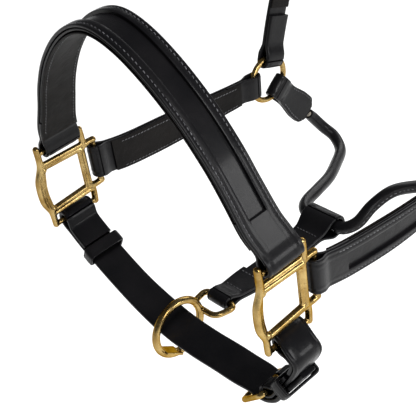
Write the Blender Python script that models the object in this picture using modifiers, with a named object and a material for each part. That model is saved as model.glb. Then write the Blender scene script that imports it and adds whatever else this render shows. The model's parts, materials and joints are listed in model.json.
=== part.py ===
"""Leather headcollar, horse size, with cast brass fittings.

The frame is the horse's head as the headcollar is worn: +X is the horse's left
(near) side, +Y runs from the nose to the poll, +Z is up. The origin is the seat
under the crown where the headcollar hangs on the poll. Lengths are in metres;
places on the head are written in millimetres from the point midway between the
two cheek squares, and head() turns them into the frame.
"""

import math

import bmesh
import bpy
from mathutils import Matrix, Quaternion, Vector

# ---- driving dimensions -------------------------------------------------------

MM = 0.001
GAP = 0.3 * MM                      # clearance between pieces that touch
WELD = 0.02 * MM                    # corners nearer than this are one corner
X = Vector((1.0, 0.0, 0.0))
Y = Vector((0.0, 1.0, 0.0))
Z = Vector((0.0, 0.0, 1.0))

SQUARE_X = 100.0                    # half the distance between the two squares
RING_PLACE = (100.0, 198.0, -6.0)   # near throat ring, mirrored on the off side
POLL = (0.0, 249.0, 219.0)          # underside of the crown at its top

BAR = 4.2 * MM                      # thickness of the square castings
FRONT_BAR = 6.8 * MM                # width of a square's bowed front bar
REAR_BAR = 6.4 * MM                 # width of its rear bar
FLARE = 2.0 * MM                    # how far the upper and lower bars spread towards the front
SQUARE_HALF = 15.5 * MM             # centre of the square to the inner bars
LOOP_BACK_OUT = 25.0 * MM           # centre of the square to the cheek's strap bar
LOOP_END_OUT = 29.0 * MM            # centre of the square to the strap bars above and below
EAR_HALF = 16.8 * MM                # centre of the square to the ears
FRONT_EAR = 18.6 * MM               # centre of the square to the two ears in front
BOW = 5.0 * MM                      # how far the front bar bows forward
SQUARE_TIP = 4.0                    # degrees that the noseband tips each square forward
STRAP_BAR = 2.5 * MM                # radius that a strap bends to around a square's bar

RING_RADIUS = 17.75 * MM            # throat rings, to the middle of the wire
RING_WIRE = 2.25 * MM
CHIN_RADIUS = 19.8 * MM             # chin ring, to the middle of the wire
CHIN_WIRE = 2.7 * MM

NOSE_WIDTH = 26.5 * MM
NOSE_FOOT_WIDTH = 28.5 * MM         # where the noseband fills a square's slot
CHEEK_WIDTH = 25.0 * MM
RING_WIDTH = 19.0 * MM              # straps narrow to this where they fold on a ring
CROWN_WIDTH = 20.0 * MM
CHIN_WIDTH = 24.0 * MM
JAW_WIDTH = 23.5 * MM
JAW_LOOP_WIDTH = 18.0 * MM          # where the jaw strap folds on the chin ring's loop
T_WIDTH = 28.0 * MM                 # jaw strap flared around the rolled throat

FACE_LEATHER = 2.1 * MM             # the noseband's and cheeks' outer layer
CORE_LEATHER = 1.9 * MM
LINING_LEATHER = 1.2 * MM
OUTER_LEATHER = 2.6 * MM            # chapes, tabs and the jaw strap
STRAP_LEATHER = 3.0 * MM
KEEPER_LEATHER = 1.8 * MM
KEEPER_SLACK = 0.7 * MM             # room for a keeper to slide over a bent strap
CHANNEL_HALF = 6.5 * MM             # half the width of the sunk channel
ROLL_RADIUS = 4.75 * MM
CORE_RADIUS = 2.6 * MM

BUCKLE_WIRE = 1.9 * MM
BUCKLE_LENGTH = 23.0 * MM           # heel bar to far bar
TONGUE_WIRE = 1.25 * MM
BILLET_PITCH = 20.0 * MM
BILLET_HOLE = 2.2 * MM

SNAP_WIRE = 2.5 * MM
SNAP_REACH = 7.5 * MM               # middle of the hook's eye to its wire
BARREL_RADIUS = 5.0 * MM
BARREL_LENGTH = 27.0 * MM
BOLT_RADIUS = 2.3 * MM
BOLT_TRAVEL = 7.0 * MM

BLACK = ("leather_black", (0.018, 0.018, 0.020, 1.0), 0.42, 0.0)
LINING = ("leather_lining", (0.030, 0.026, 0.024, 1.0), 0.55, 0.0)
CORD = ("cotton_cord", (0.55, 0.50, 0.42, 1.0), 0.9, 0.0)
BRASS = ("brass", (0.78, 0.57, 0.25, 1.0), 0.28, 1.0)
STEEL = ("spring_steel", (0.50, 0.50, 0.52, 1.0), 0.35, 1.0)


# ---- scene, materials and small helpers ---------------------------------------

def clear_scene():
    for old in list(bpy.data.objects):
        bpy.data.objects.remove(old, do_unlink=True)


def new_collection(name):
    collection = bpy.data.collections.new(name)
    bpy.context.scene.collection.children.link(collection)
    return collection


clear_scene()
PARTS = new_collection("headcollar")
CUTTERS = new_collection("cutters")


def head(x, y, z):
    """A place on the head, in millimetres, as a point in the model's frame."""
    return Vector((x - POLL[0], y - POLL[1], z - POLL[2])) * MM


def material_for(node, finish):
    label, colour, roughness, metallic = finish
    material = bpy.data.materials.new(f"{label}_{node}")
    material.use_nodes = True
    shader = material.node_tree.nodes["Principled BSDF"]
    shader.inputs["Base Color"].default_value = colour
    shader.inputs["Roughness"].default_value = roughness
    shader.inputs["Metallic"].default_value = metallic
    material.diffuse_color = colour
    return material


def add_part(name, mesh, finish, origin=None):
    """Put a world-space mesh in the model as one named part."""
    part = bpy.data.objects.new(name, mesh)
    PARTS.objects.link(part)
    mesh.materials.clear()
    mesh.materials.append(material_for(name, finish))
    if origin is not None:
        mesh.transform(Matrix.Translation(-origin))
        part.location = origin
    mesh.shade_smooth()
    mesh.set_sharp_from_angle(angle=math.radians(40))
    return part


def mesh_of(thing):
    """The evaluated mesh of an object in world space, with its caps welded."""
    bpy.context.view_layer.update()
    graph = bpy.context.evaluated_depsgraph_get()
    mesh = bpy.data.meshes.new_from_object(thing.evaluated_get(graph))
    mesh.transform(thing.matrix_world)
    bpy.data.objects.remove(thing, do_unlink=True)
    shell = bmesh.new()
    shell.from_mesh(mesh)
    bmesh.ops.remove_doubles(shell, verts=shell.verts, dist=WELD)
    bmesh.ops.recalc_face_normals(shell, faces=shell.faces)
    shell.to_mesh(mesh)
    shell.free()
    return mesh


def turned(axis, around):
    """Rotation that takes local Z to axis and local X as near as it can to around."""
    z_dir = axis.normalized()
    x_dir = (around - z_dir * around.dot(z_dir)).normalized()
    y_dir = z_dir.cross(x_dir)
    return Matrix((x_dir, y_dir, z_dir)).transposed().to_4x4()


def primitive_mesh(maker, place, rotation):
    """Mesh of a bmesh primitive made by maker(shell), rotated and moved."""
    shell = bmesh.new()
    maker(shell)
    bmesh.ops.transform(shell, matrix=Matrix.Translation(place) @ rotation, verts=shell.verts)
    mesh = bpy.data.meshes.new("primitive")
    shell.to_mesh(mesh)
    shell.free()
    return mesh


def rod_mesh(start, end, radius, sides=14, end_radius=None):
    """A plain round rod between two points."""
    axis = end - start
    side = X if abs(axis.normalized().dot(X)) < 0.9 else Y

    def maker(shell):
        bmesh.ops.create_cone(shell, cap_ends=True, segments=sides, radius1=radius,
                              radius2=radius if end_radius is None else end_radius,
                              depth=axis.length)

    return primitive_mesh(maker, (start + end) / 2, turned(axis, side))


def box_mesh(place, size, rotation):
    def maker(shell):
        bmesh.ops.create_cube(shell, size=1.0, matrix=Matrix.Diagonal((*size, 1.0)))

    return primitive_mesh(maker, place, rotation)


def wire_mesh(points, radius, closed=False, sides=2):
    """A round wire along the points."""
    curve = bpy.data.curves.new("wire", "CURVE")
    curve.dimensions = "3D"
    curve.bevel_depth = radius
    curve.bevel_resolution = sides
    curve.use_fill_caps = not closed
    spline = curve.splines.new("POLY")
    spline.points.add(len(points) - 1)
    for slot, point in zip(spline.points, points):
        slot.co = (*point, 1.0)
    spline.use_cyclic_u = closed
    wire = bpy.data.objects.new("wire", curve)
    PARTS.objects.link(wire)
    return mesh_of(wire)


def torus_mesh(place, axis, radius, wire, steps=28, sides=8):
    side = X if abs(axis.dot(X)) < 0.9 else Y
    bpy.ops.mesh.primitive_torus_add(major_radius=radius, minor_radius=wire,
                                     major_segments=steps, minor_segments=sides)
    torus = bpy.context.active_object
    torus.matrix_world = Matrix.Translation(place) @ turned(axis, side)
    return mesh_of(torus)


def joined(base, others, operation="UNION"):
    """One mesh from base joined with, or cut by, the other meshes."""
    work = bpy.data.objects.new("work", base)
    PARTS.objects.link(work)
    helpers = []
    for mesh in others:
        helper = bpy.data.objects.new("helper", mesh)
        CUTTERS.objects.link(helper)
        helper.display_type = "WIRE"
        helper.hide_render = True
        helpers.append(helper)
        step = work.modifiers.new("join", "BOOLEAN")
        step.operation = operation
        step.solver = "EXACT"
        step.object = helper
    result = mesh_of(work)
    for helper in helpers:
        bpy.data.objects.remove(helper, do_unlink=True)
    return result


# ---- smooth routes ------------------------------------------------------------

def catmull(before, start, end, after, t):
    return 0.5 * ((2 * start) + (end - before) * t
                  + (2 * before - 5 * start + 4 * end - after) * t * t
                  + (3 * start - before - 3 * end + after) * t ** 3)


def smooth_route(points, spacing):
    """Evenly spaced points on one smooth curve through the given points."""
    ends = [2 * points[0] - points[1]] + list(points) + [2 * points[-1] - points[-2]]
    fine = []
    for i in range(1, len(ends) - 2):
        for step in range(20):
            fine.append(catmull(ends[i - 1], ends[i], ends[i + 1], ends[i + 2], step / 20))
    fine.append(points[-1].copy())
    run = [0.0]
    for a, b in zip(fine, fine[1:]):
        run.append(run[-1] + (b - a).length)
    count = max(2, round(run[-1] / spacing))
    route = []
    at = 0
    for k in range(count + 1):
        target = run[-1] * k / count
        while at < len(run) - 2 and run[at + 1] < target:
            at += 1
        part = (target - run[at]) / max(run[at + 1] - run[at], 1e-9)
        route.append(fine[at].lerp(fine[at + 1], min(max(part, 0.0), 1.0)))
    return route


def run_lengths(route):
    """The length along the route up to each of its points."""
    run = [0.0]
    for a, b in zip(route, route[1:]):
        run.append(run[-1] + (b - a).length)
    return run


def thinned(route, fine_length):
    """The route with every second point left out, but for the last fine_length of it."""
    run = run_lengths(route)
    start = run[-1] - fine_length
    return [p for i, p in enumerate(route) if i % 2 == 0 or run[i] >= start]


def ease(t):
    t = min(max(t, 0.0), 1.0)
    return t * t * (3 - 2 * t)


def tangents_of(route):
    """The unit direction of the route at each of its points."""
    last = len(route) - 1
    return [(route[min(i + 1, last)] - route[max(i - 1, 0)]).normalized()
            for i in range(len(route))]


# ---- straps -------------------------------------------------------------------

class Fold:
    """A strap end turned back around a bar.

    wire is the bar's radius, hold how far the two layers stay apart past the bar,
    neck how far they take to close up, and reach how long the turned-back end is.
    """

    def __init__(self, wire, hold=2.0 * MM, neck=9.0 * MM, reach=30.0 * MM):
        self.wire = wire
        self.hold = hold
        self.neck = neck
        self.reach = reach


class Row:
    """One cross line of a strap: its middle, the way across it, and its width."""

    def __init__(self, middle, across, normal, width, run, layer):
        self.middle = middle
        self.across = across
        self.normal = normal
        self.width = width
        self.run = run
        self.layer = layer


def strap_rows(route, across, width, thickness, out, start=None, end=None, lift=None):
    """Cross lines of a strap that follows route, with its ends folded round bars.

    across(run) is the way across the strap, width(run) its width, and out is the
    side that the outer layer faces. lift(run) raises the outer layer further.
    """
    run = run_lengths(route)
    total = run[-1]
    lines = tangents_of(route)
    half = (thickness + GAP) / 2 if start or end else 0.0

    def spread(at):
        value = half
        for fold, far in ((start, at), (end, total - at)):
            if fold:
                wide = fold.wire + GAP + thickness / 2
                value = max(value, wide + (half - wide) * ease((far - fold.hold) / fold.neck))
        return value

    def normal_at(i):
        side = lines[i].cross(across(run[i])).normalized()
        return side if side.dot(out(run[i])) > 0 else -side

    def row(i, sign, layer):
        extra = lift(run[i]) if lift and sign > 0 else 0.0
        middle = route[i] + normal_at(i) * (sign * spread(run[i]) + extra)
        return Row(middle, across(run[i]), normal_at(i), width(run[i]), run[i], layer)

    def bend(i, fold, away, order, layer):
        wide = fold.wire + GAP + thickness / 2
        rows = []
        for k in order:
            angle = math.pi * k / 8
            spoke = -normal_at(i) * math.cos(angle) + away * math.sin(angle)
            rows.append(Row(route[i] + spoke * wide, across(run[i]), spoke,
                            width(run[i]), run[i], layer))
        return rows

    rows = []
    last = len(route) - 1
    if start:
        back = [i for i in range(1, last) if run[i] <= start.reach]
        rows += [row(i, -1, "start_back") for i in reversed(back)]
        rows += bend(0, start, -lines[0], range(0, 9), "start_bend")
    first_main = 1 if start else 0
    last_main = last - 1 if end else last
    rows += [row(i, 1, "main") for i in range(first_main, last_main + 1)]
    if end:
        rows += bend(last, end, lines[-1], range(8, -1, -1), "end_bend")
        back = [i for i in range(1, last) if total - run[i] <= end.reach]
        rows += [row(i, -1, "end_back") for i in reversed(back)]
    return rows


def strap_mesh(rows, thickness, slot_half=None, is_open=None):
    """Leather from cross lines; is_open(row) leaves the middle out as a window."""
    shell = bmesh.new()
    grid = []
    for row in rows:
        half = row.width / 2
        places = [-half, half] if slot_half is None else [-half, -slot_half, slot_half, half]
        grid.append([shell.verts.new(row.middle + row.across * p) for p in places])
    for r in range(len(rows) - 1):
        for c in range(len(grid[r]) - 1):
            middle = slot_half is not None and c == 1
            if middle and is_open(rows[r]) and is_open(rows[r + 1]):
                continue
            shell.faces.new((grid[r][c], grid[r][c + 1], grid[r + 1][c + 1], grid[r + 1][c]))
    mesh = bpy.data.meshes.new("strap")
    shell.to_mesh(mesh)
    shell.free()
    sheet = bpy.data.objects.new("strap", mesh)
    PARTS.objects.link(sheet)
    solid = sheet.modifiers.new("leather", "SOLIDIFY")
    solid.thickness = thickness
    solid.offset = 0.0
    solid.use_even_offset = True
    return mesh_of(sheet)


def steady(value):
    """A function of the run along a strap that is the same everywhere."""
    return lambda run: value


def plain_layer(route, across, width, out, offset, first, last):
    """Rows of an unfolded layer that runs offset inside the strap's middle line."""
    run = run_lengths(route)
    lines = tangents_of(route)
    rows = []
    for i, point in enumerate(route):
        if first <= run[i] <= last:
            side = lines[i].cross(across(run[i])).normalized()
            side = side if side.dot(out(run[i])) > 0 else -side
            rows.append(Row(point + side * offset, across(run[i]), side,
                            width(run[i]), run[i], "main"))
    return rows


def padded_strap(name, route, across, width, out, start, end, window):
    """Outer strap with a sunk channel, the core that floors it, and the lining."""
    first, last = window
    total = run_lengths(route)[-1]
    rows = strap_rows(route, across, width, FACE_LEATHER, out, start, end)
    mesh = strap_mesh(rows, FACE_LEATHER, CHANNEL_HALF,
                      lambda row: row.layer == "main" and first <= row.run <= last)
    add_part(f"{name}_strap", mesh, BLACK)

    core = plain_layer(route, across, lambda at: width(at) - 1.5 * MM, out,
                       -(GAP + CORE_LEATHER) / 2, start.reach + 4 * MM,
                       total - end.reach - 4 * MM)
    add_part(f"{name}_core", strap_mesh(core, CORE_LEATHER), LINING)

    lining = plain_layer(route, across, width, out,
                         -(1.5 * GAP + FACE_LEATHER + LINING_LEATHER / 2),
                         start.hold + start.neck + 3 * MM,
                         total - end.hold - end.neck - 3 * MM)
    add_part(f"{name}_lining", strap_mesh(lining, LINING_LEATHER), LINING)


def keeper(name, centre, along, across, low, high, half_width, length, out):
    """A leather loop around a strap, square to it.

    low and high are the stack's lower and upper faces along out from centre.
    """
    side = across.normalized()
    up = out.normalized()
    reach = half_width + GAP + KEEPER_LEATHER / 2
    bottom = low - KEEPER_SLACK - KEEPER_LEATHER / 2
    top = high + KEEPER_SLACK + KEEPER_LEATHER / 2
    corner = 1.4 * MM
    shell = bmesh.new()
    rim = []
    for quarter, (sx, sy) in enumerate(((1, 1), (-1, 1), (-1, -1), (1, -1))):
        for k in range(4):
            angle = math.pi / 2 * (quarter + k / 3)
            px = sx * (reach - corner) + corner * math.cos(angle)
            py = (top - corner if sy > 0 else bottom + corner) + corner * math.sin(angle)
            rim.append(centre + side * px + up * py)
    step = along.normalized() * length / 2
    lines = [[shell.verts.new(p - step) for p in rim], [shell.verts.new(p + step) for p in rim]]
    count = len(rim)
    for i in range(count):
        j = (i + 1) % count
        shell.faces.new((lines[0][i], lines[0][j], lines[1][j], lines[1][i]))
    mesh = bpy.data.meshes.new(name)
    shell.to_mesh(mesh)
    shell.free()
    band = bpy.data.objects.new("band", mesh)
    PARTS.objects.link(band)
    solid = band.modifiers.new("leather", "SOLIDIFY")
    solid.thickness = KEEPER_LEATHER
    solid.offset = 0.0
    solid.use_even_offset = True
    return add_part(name, mesh_of(band), BLACK, origin=centre)


BAR_Y = (Y * math.cos(math.radians(SQUARE_TIP)) + Z * math.sin(math.radians(SQUARE_TIP)))
BAR_Z = X.cross(BAR_Y)


# ---- castings -----------------------------------------------------------------

def rounded(corners, radius, steps=2):
    """A polygon with its corners rounded off."""
    points = []
    count = len(corners)
    for i, corner in enumerate(corners):
        before = corners[i - 1]
        after = corners[(i + 1) % count]
        into = (before - corner)
        onto = (after - corner)
        cut = min(radius, into.length * 0.45, onto.length * 0.45)
        start = corner + into.normalized() * cut
        end = corner + onto.normalized() * cut
        for k in range(steps + 1):
            t = k / steps
            points.append(start * (1 - t) ** 2 + corner * 2 * t * (1 - t) + end * t * t)
    return points


def plate_mesh(outlines, thickness, bevel, place, rotation):
    """A flat casting: the first outline is its edge, the others are its openings."""
    curve = bpy.data.curves.new("plate", "CURVE")
    curve.dimensions = "2D"
    curve.fill_mode = "BOTH"
    curve.extrude = thickness / 2 - bevel
    curve.bevel_depth = bevel
    curve.bevel_resolution = 0
    curve.offset = -bevel
    for outline in outlines:
        spline = curve.splines.new("POLY")
        spline.points.add(len(outline) - 1)
        for slot, point in zip(spline.points, outline):
            slot.co = (point.x, point.y, 0.0, 1.0)
        spline.use_cyclic_u = True
    plate = bpy.data.objects.new("plate", curve)
    PARTS.objects.link(plate)
    plate.matrix_world = Matrix.Translation(place) @ rotation
    return mesh_of(plate)


def rectangle(low_x, high_x, low_y, high_y):
    return [Vector((low_x, high_y, 0)), Vector((low_x, low_y, 0)),
            Vector((high_x, low_y, 0)), Vector((high_x, high_y, 0))]


def mirrored_down(points):
    """The points, then their mirror images in the X axis in reverse order."""
    return points + [Vector((p.x, -p.y, 0)) for p in reversed(points)]


def make_square(name, side):
    """Square casting: bowed front bar, three straight bars and a strap bar beyond each."""
    bar = BAR / 2
    ear = EAR_HALF + bar
    back = LOOP_BACK_OUT + bar
    end = LOOP_END_OUT + bar
    inner = SQUARE_HALF - bar
    slot_near = SQUARE_HALF + bar
    slot_back = LOOP_BACK_OUT - bar
    slot_end = LOOP_END_OUT - bar
    slot_half = EAR_HALF - bar
    front = FRONT_EAR + bar
    slot_front = FRONT_EAR - bar
    bowed = SQUARE_HALF * 0.45
    window_back = slot_near - REAR_BAR
    window_front = front + BOW - FRONT_BAR
    upper = [Vector((back, ear, 0)), Vector((ear, ear, 0)), Vector((ear, end, 0)),
             Vector((-front, end, 0)), Vector((-front, SQUARE_HALF, 0)),
             Vector((-front - BOW, bowed, 0))]
    window = [Vector((window_back, inner, 0)),
              Vector((-slot_front + 0.5 * MM, inner + FLARE, 0)),
              Vector((-window_front, bowed, 0))]
    slot = [Vector((-slot_front, slot_end, 0)), Vector((-slot_front, slot_near + FLARE, 0)),
            Vector((slot_half, slot_near, 0)), Vector((slot_half, slot_end, 0))]
    lower_slot = [Vector((p.x, -p.y, 0)) for p in reversed(slot)]
    outlines = [rounded(mirrored_down(upper), 2.5 * MM),
                rounded(mirrored_down(window), 2.0 * MM), slot, lower_slot,
                rectangle(slot_near, slot_back, -slot_half, slot_half)]
    place = head(side * SQUARE_X, 0, 0)
    mesh = plate_mesh(outlines, BAR, 1.0 * MM, place, turned(X, BAR_Y))
    add_part(name, mesh, BRASS, origin=place)


def square_bar(side, up, back):
    """Middle of a strap bar of a square, up being -1, 0 or 1 and back 0 or 1."""
    return (head(side * SQUARE_X, 0, 0) + BAR_Z * up * LOOP_END_OUT
            + BAR_Y * back * LOOP_BACK_OUT)


def ring_place(side):
    return head(side * RING_PLACE[0], RING_PLACE[1], RING_PLACE[2])


def ring_sag(width):
    """How far the ring's wire curves inward across a strap of this width."""
    return RING_RADIUS - math.sqrt(RING_RADIUS ** 2 - (width / 2) ** 2)


def ring_chord(side, direction):
    """Middle of the fold of a strap that leaves the ring along direction."""
    return ring_place(side) + direction * (RING_RADIUS - ring_sag(RING_WIDTH))


def ring_fold(reach):
    """A fold on a ring; at the strap's edges it crosses the wire on a slant."""
    slant = math.asin(RING_WIDTH / 2 / RING_RADIUS)
    hold = ring_sag(RING_WIDTH) + 1.5 * MM
    return Fold(RING_WIRE / math.cos(slant), hold=hold, neck=10 * MM, reach=reach)


# ---- squares, rings, noseband and cheeks --------------------------------------

SIDES = (("near", 1), ("off", -1))
CROWN_DIRECTION = Vector((0, 0.28, 1.0)).normalized()
TAB_DIRECTION = Vector((0, 0.66, -0.75)).normalized()
TAB_ACROSS = TAB_DIRECTION.cross(X).normalized()

for side_name, side_sign in SIDES:
    make_square(f"{side_name}_square", side_sign)
    centre = ring_place(side_sign)
    add_part(f"{side_name}_throat_ring", torus_mesh(centre, X, RING_RADIUS, RING_WIRE),
             BRASS, origin=centre)

NOSE_FOOT = (97.2, -3.3, 38.0)      # just above the square, in line with its ears
NOSE_HALF = [(91.0, 51.0), (82.5, 69.0), (72.5, 89.5),
             (57.5, 112.0), (38.5, 132.0), (19.0, 145.5), (0.0, 150.5)]
NOSE_LEAN = 0.165                   # how far the noseband leans forward for its height


def nose_point(x, z):
    return head(x, 1 - NOSE_LEAN * z, z)


foot_x, foot_y, foot_z = NOSE_FOOT
nose_points = [square_bar(1, 1, 0), head(foot_x, foot_y, foot_z)]
nose_points += [nose_point(x, z) for x, z in NOSE_HALF]
nose_points += [nose_point(-x, z) for x, z in reversed(NOSE_HALF[:-1])]
nose_points += [head(-foot_x, foot_y, foot_z), square_bar(-1, 1, 0)]
nose_route = smooth_route(nose_points, 7.4 * MM)
nose_length = run_lengths(nose_route)[-1]


def nose_out(at):
    angle = math.pi * at / nose_length
    return X * math.cos(angle) + Z * math.sin(angle)


def nose_width(at):
    from_square = min(at, nose_length - at)
    slimming = ease((from_square - 10 * MM) / (45 * MM))
    return NOSE_FOOT_WIDTH + (NOSE_WIDTH - NOSE_FOOT_WIDTH) * slimming


square_fold = Fold(STRAP_BAR, hold=2.0 * MM, neck=9.0 * MM, reach=32 * MM)
padded_strap("noseband", nose_route, steady(BAR_Y), nose_width, nose_out,
             square_fold, square_fold, (30 * MM, nose_length - 30 * MM))


def make_cheek(side_name, side):
    """Cheek strap from its square's rear bar to the throat ring."""
    points = [square_bar(side, 0, 1), head(side * 101, 55, -3), head(side * 102, 100, -5.5),
              head(side * 101, 145, -6), ring_chord(side, -Y)]
    route = smooth_route(points, 7 * MM)
    total = run_lengths(route)[-1]

    def width(at):
        return CHEEK_WIDTH + (RING_WIDTH - CHEEK_WIDTH) * ease((at / total - 0.35) / 0.6)

    def across(at):
        return BAR_Z.lerp(Z, ease(at / total)).normalized()

    padded_strap(f"{side_name}_cheek", route, across, width, steady(X * side),
                 square_fold, ring_fold(30 * MM), (27 * MM, total - 32 * MM))


for side_name, side_sign in SIDES:
    make_cheek(side_name, side_sign)


# ---- buckled straps: the crown and the chin strap ------------------------------

def buckle_frame(name, heel, far, across, strap_width):
    """A rectangular wire frame with its heel bar and far bar at the given places."""
    half = strap_width / 2 + 1.2 * MM + BUCKLE_WIRE
    corners = [heel - across * half, heel + across * half,
               far + across * half, far - across * half]
    mesh = wire_mesh(rounded(corners, 3.2 * MM, 3), BUCKLE_WIRE, closed=True)
    add_part(name, mesh, BRASS, origin=heel)


def buckle_tongue(name, heel, forward, up, across, length, rise):
    """Prong with an eye round the heel bar; it humps through the strap to the far bar."""
    eye = BUCKLE_WIRE + GAP + TONGUE_WIRE
    shape = [(eye * 0.75, eye * 0.66), (5.0 * MM, rise * 0.66), (8.5 * MM, rise * 0.93),
             (13 * MM, rise + 0.4 * MM), (length, rise), (length + 2.6 * MM, rise - 0.4 * MM)]
    points = smooth_route([heel + forward * a + up * b for a, b in shape], 2.2 * MM)
    rod = wire_mesh(points, TONGUE_WIRE)
    loop = torus_mesh(heel, across, eye, TONGUE_WIRE, steps=14, sides=6)
    add_part(name, joined(loop, [rod]), BRASS, origin=heel)


def buckled_strap(name, route, across, width, out, start, chape_end, heel_run, tip_run,
                  chape_width, keepers, holes):
    """A strap whose tip is buckled to a chape folded on the route's last bar.

    keepers gives each keeper's name and its distance past the heel bar.
    """
    run = run_lengths(route)
    total = run[-1]
    lines = tangents_of(route)
    heel_at = min(range(len(run)), key=lambda i: abs(run[i] - heel_run))
    heel = route[heel_at]
    strap_half = (STRAP_LEATHER + GAP) / 2
    over_heel = BUCKLE_WIRE + 2 * GAP + OUTER_LEATHER + STRAP_LEATHER / 2
    over_chape = OUTER_LEATHER + 1.5 * GAP + STRAP_LEATHER / 2
    far_up = strap_half + STRAP_LEATHER / 2 + GAP + BUCKLE_WIRE

    def lift(at):
        past = at - run[heel_at]
        rise = (over_heel - strap_half) * ease((past + BUCKLE_LENGTH - 3.5 * MM) / (17 * MM))
        settle = (over_heel - over_chape) * ease((past - 3 * MM) / (9 * MM))
        return rise - settle

    def strap_width(at):
        return width(at) * (1 - 0.55 * ease((at - tip_run + 12 * MM) / (12 * MM)))

    kept = [i for i in range(len(run)) if run[i] <= tip_run]
    rows = strap_rows(route[:kept[-1] + 1], across, strap_width, STRAP_LEATHER, out,
                      start=start, lift=lift)
    tongue_slot = (run[heel_at] - 11 * MM, run[heel_at] + 1 * MM)
    mesh = strap_mesh(rows, STRAP_LEATHER, 1.9 * MM, lambda row: row.layer == "main"
                      and tongue_slot[0] <= row.run <= tongue_slot[1])
    cutters = []
    for k in holes:
        spot = min((row for row in rows if row.layer == "main"),
                   key=lambda row: abs(row.run - (run[heel_at] - 6 * MM + k * BILLET_PITCH)))
        cutters.append(rod_mesh(spot.middle - spot.normal * 4 * MM,
                                spot.middle + spot.normal * 4 * MM, BILLET_HOLE, 8))
    add_part(f"{name}_strap", joined(mesh, cutters, "DIFFERENCE"), BLACK)

    chape_route = route[heel_at:]
    offset = run[heel_at]
    chape_start = Fold(BUCKLE_WIRE, hold=1.5 * MM, neck=8 * MM, reach=(total - offset) * 0.45)
    chape_end.reach = (total - offset) * 0.45
    chape = strap_rows(chape_route, lambda at: across(at + offset), chape_width,
                       OUTER_LEATHER, lambda at: out(at + offset), chape_start, chape_end)
    mesh = strap_mesh(chape, OUTER_LEATHER, 2.0 * MM,
                      lambda row: row.layer == "start_bend" or
                      (row.run < 11 * MM and row.layer in ("main", "start_back")))
    add_part(f"{name}_chape", mesh, BLACK)

    side = across(run[heel_at]).normalized()
    up = lines[heel_at].cross(side).normalized()
    up = up if up.dot(out(run[heel_at])) > 0 else -up
    forward = side.cross(up)
    forward = forward if forward.dot(lines[heel_at]) < 0 else -forward
    far = heel + forward * BUCKLE_LENGTH + up * far_up
    buckle_frame(f"{name}_buckle_frame", heel, far, side, width(run[heel_at]))
    buckle_tongue(f"{name}_buckle_tongue", heel, forward, up, side, BUCKLE_LENGTH,
                  far_up + BUCKLE_WIRE + GAP + TONGUE_WIRE)

    for keeper_name, past, length in keepers:
        at = min(range(len(run)), key=lambda i: abs(run[i] - run[heel_at] - past))
        normal = lines[at].cross(across(run[at])).normalized()
        normal = normal if normal.dot(out(run[at])) > 0 else -normal
        low = -(OUTER_LEATHER + GAP / 2)
        high = over_chape + STRAP_LEATHER / 2
        keeper(keeper_name, route[at], lines[at], across(run[at]), low, high,
               width(run[at]) / 2 + 0.4 * MM, length, normal)


CROWN_TOP = POLL[2] + (GAP / 2 + LINING_LEATHER) / MM
SEAT_HALF = 9.0                     # half the flat seat on the poll, in millimetres


def crown_side(side, fine_length):
    """From the flat seat on the poll down to the ring on one side."""
    ring = ring_chord(side, CROWN_DIRECTION)
    points = [head(side * SEAT_HALF, POLL[1], CROWN_TOP), head(side * 35, 248, 209),
              head(side * 60, 245, 185), head(side * 80, 239, 152),
              head(side * 92, 231, 115), head(side * 98, 221, 75),
              ring + CROWN_DIRECTION * 30 * MM, ring]
    return thinned(smooth_route(points, 4 * MM), fine_length)


crown_route = list(reversed(crown_side(-1, 0.0))) + crown_side(1, 105 * MM)
crown_length = run_lengths(crown_route)[-1]


def crown_out(at):
    angle = math.pi * at / crown_length
    return -X * math.cos(angle) + Z * math.sin(angle)


def crown_width(at):
    from_ring = min(at, crown_length - at)
    return RING_WIDTH + (CROWN_WIDTH - RING_WIDTH) * ease(from_ring / (40 * MM))


crown_run = run_lengths(crown_route)
crown_lines = tangents_of(crown_route)


def crown_across(at):
    """Square to the crown's own line, as near as that lets it be to Y."""
    nearest = min(range(len(crown_run)), key=lambda i: abs(crown_run[i] - at))
    line = crown_lines[nearest]
    return (Y - line * line.dot(Y)).normalized()


CROWN_HEEL = crown_length - 62 * MM
buckled_strap("crown", crown_route, crown_across, crown_width, crown_out,
              ring_fold(36 * MM), ring_fold(30 * MM), CROWN_HEEL, crown_length - 14 * MM,
              steady(RING_WIDTH - 0.5 * MM),
              (("crown_fixed_keeper", 16 * MM, 8 * MM), ("crown_runner", 34 * MM, 9 * MM)),
              (-3, -2, -1, 1))

lining = plain_layer(crown_route, crown_across, crown_width, crown_out,
                     -(GAP + LINING_LEATHER) / 2, 42 * MM, CROWN_HEEL - 36 * MM)
add_part("crown_lining", strap_mesh(lining, LINING_LEATHER), LINING)

CHIN_POINTS = [(-93.5, 2, -37), (-76, 1.5, -47), (-50, 0.5, -58.5), (-25, -0.5, -67),
               (0, -1, -73), (25, -1, -75), (46, 0, -76), (62, 0.5, -76.8), (75, 1, -76.2),
               (86, 1, -73.2), (94.5, 1.5, -68), (101, 2, -60.5), (106, 2, -52.5),
               (111, 1.5, -44), (113, 1, -36.5), (108.5, 0, -30.5)]
chin_points = [square_bar(-1, -1, 0)] + [head(*p) for p in CHIN_POINTS]
chin_points += [square_bar(1, -1, 0)]
chin_route = thinned(smooth_route(chin_points, 3.0 * MM), 95 * MM)
chin_length = run_lengths(chin_route)[-1]


def chin_out(at):
    angle = math.pi * at / chin_length
    return -X * math.cos(angle) - Z * math.sin(angle)


CHIN_HEEL = chin_length - 60.5 * MM
CHIN_TILT = math.radians(14)        # the strap tips up at the back from the ring to the buckle


def chin_across(at):
    rising = ease((at - chin_length * 0.41) / (45 * MM) + 1)
    falling = 1 - ease((at - CHIN_HEEL) / (35 * MM) + 1)
    ends = math.radians(SQUARE_TIP)
    tilt = ends + (CHIN_TILT - ends) * min(rising, falling)
    return Y * math.cos(tilt) + Z * math.sin(tilt)


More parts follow.
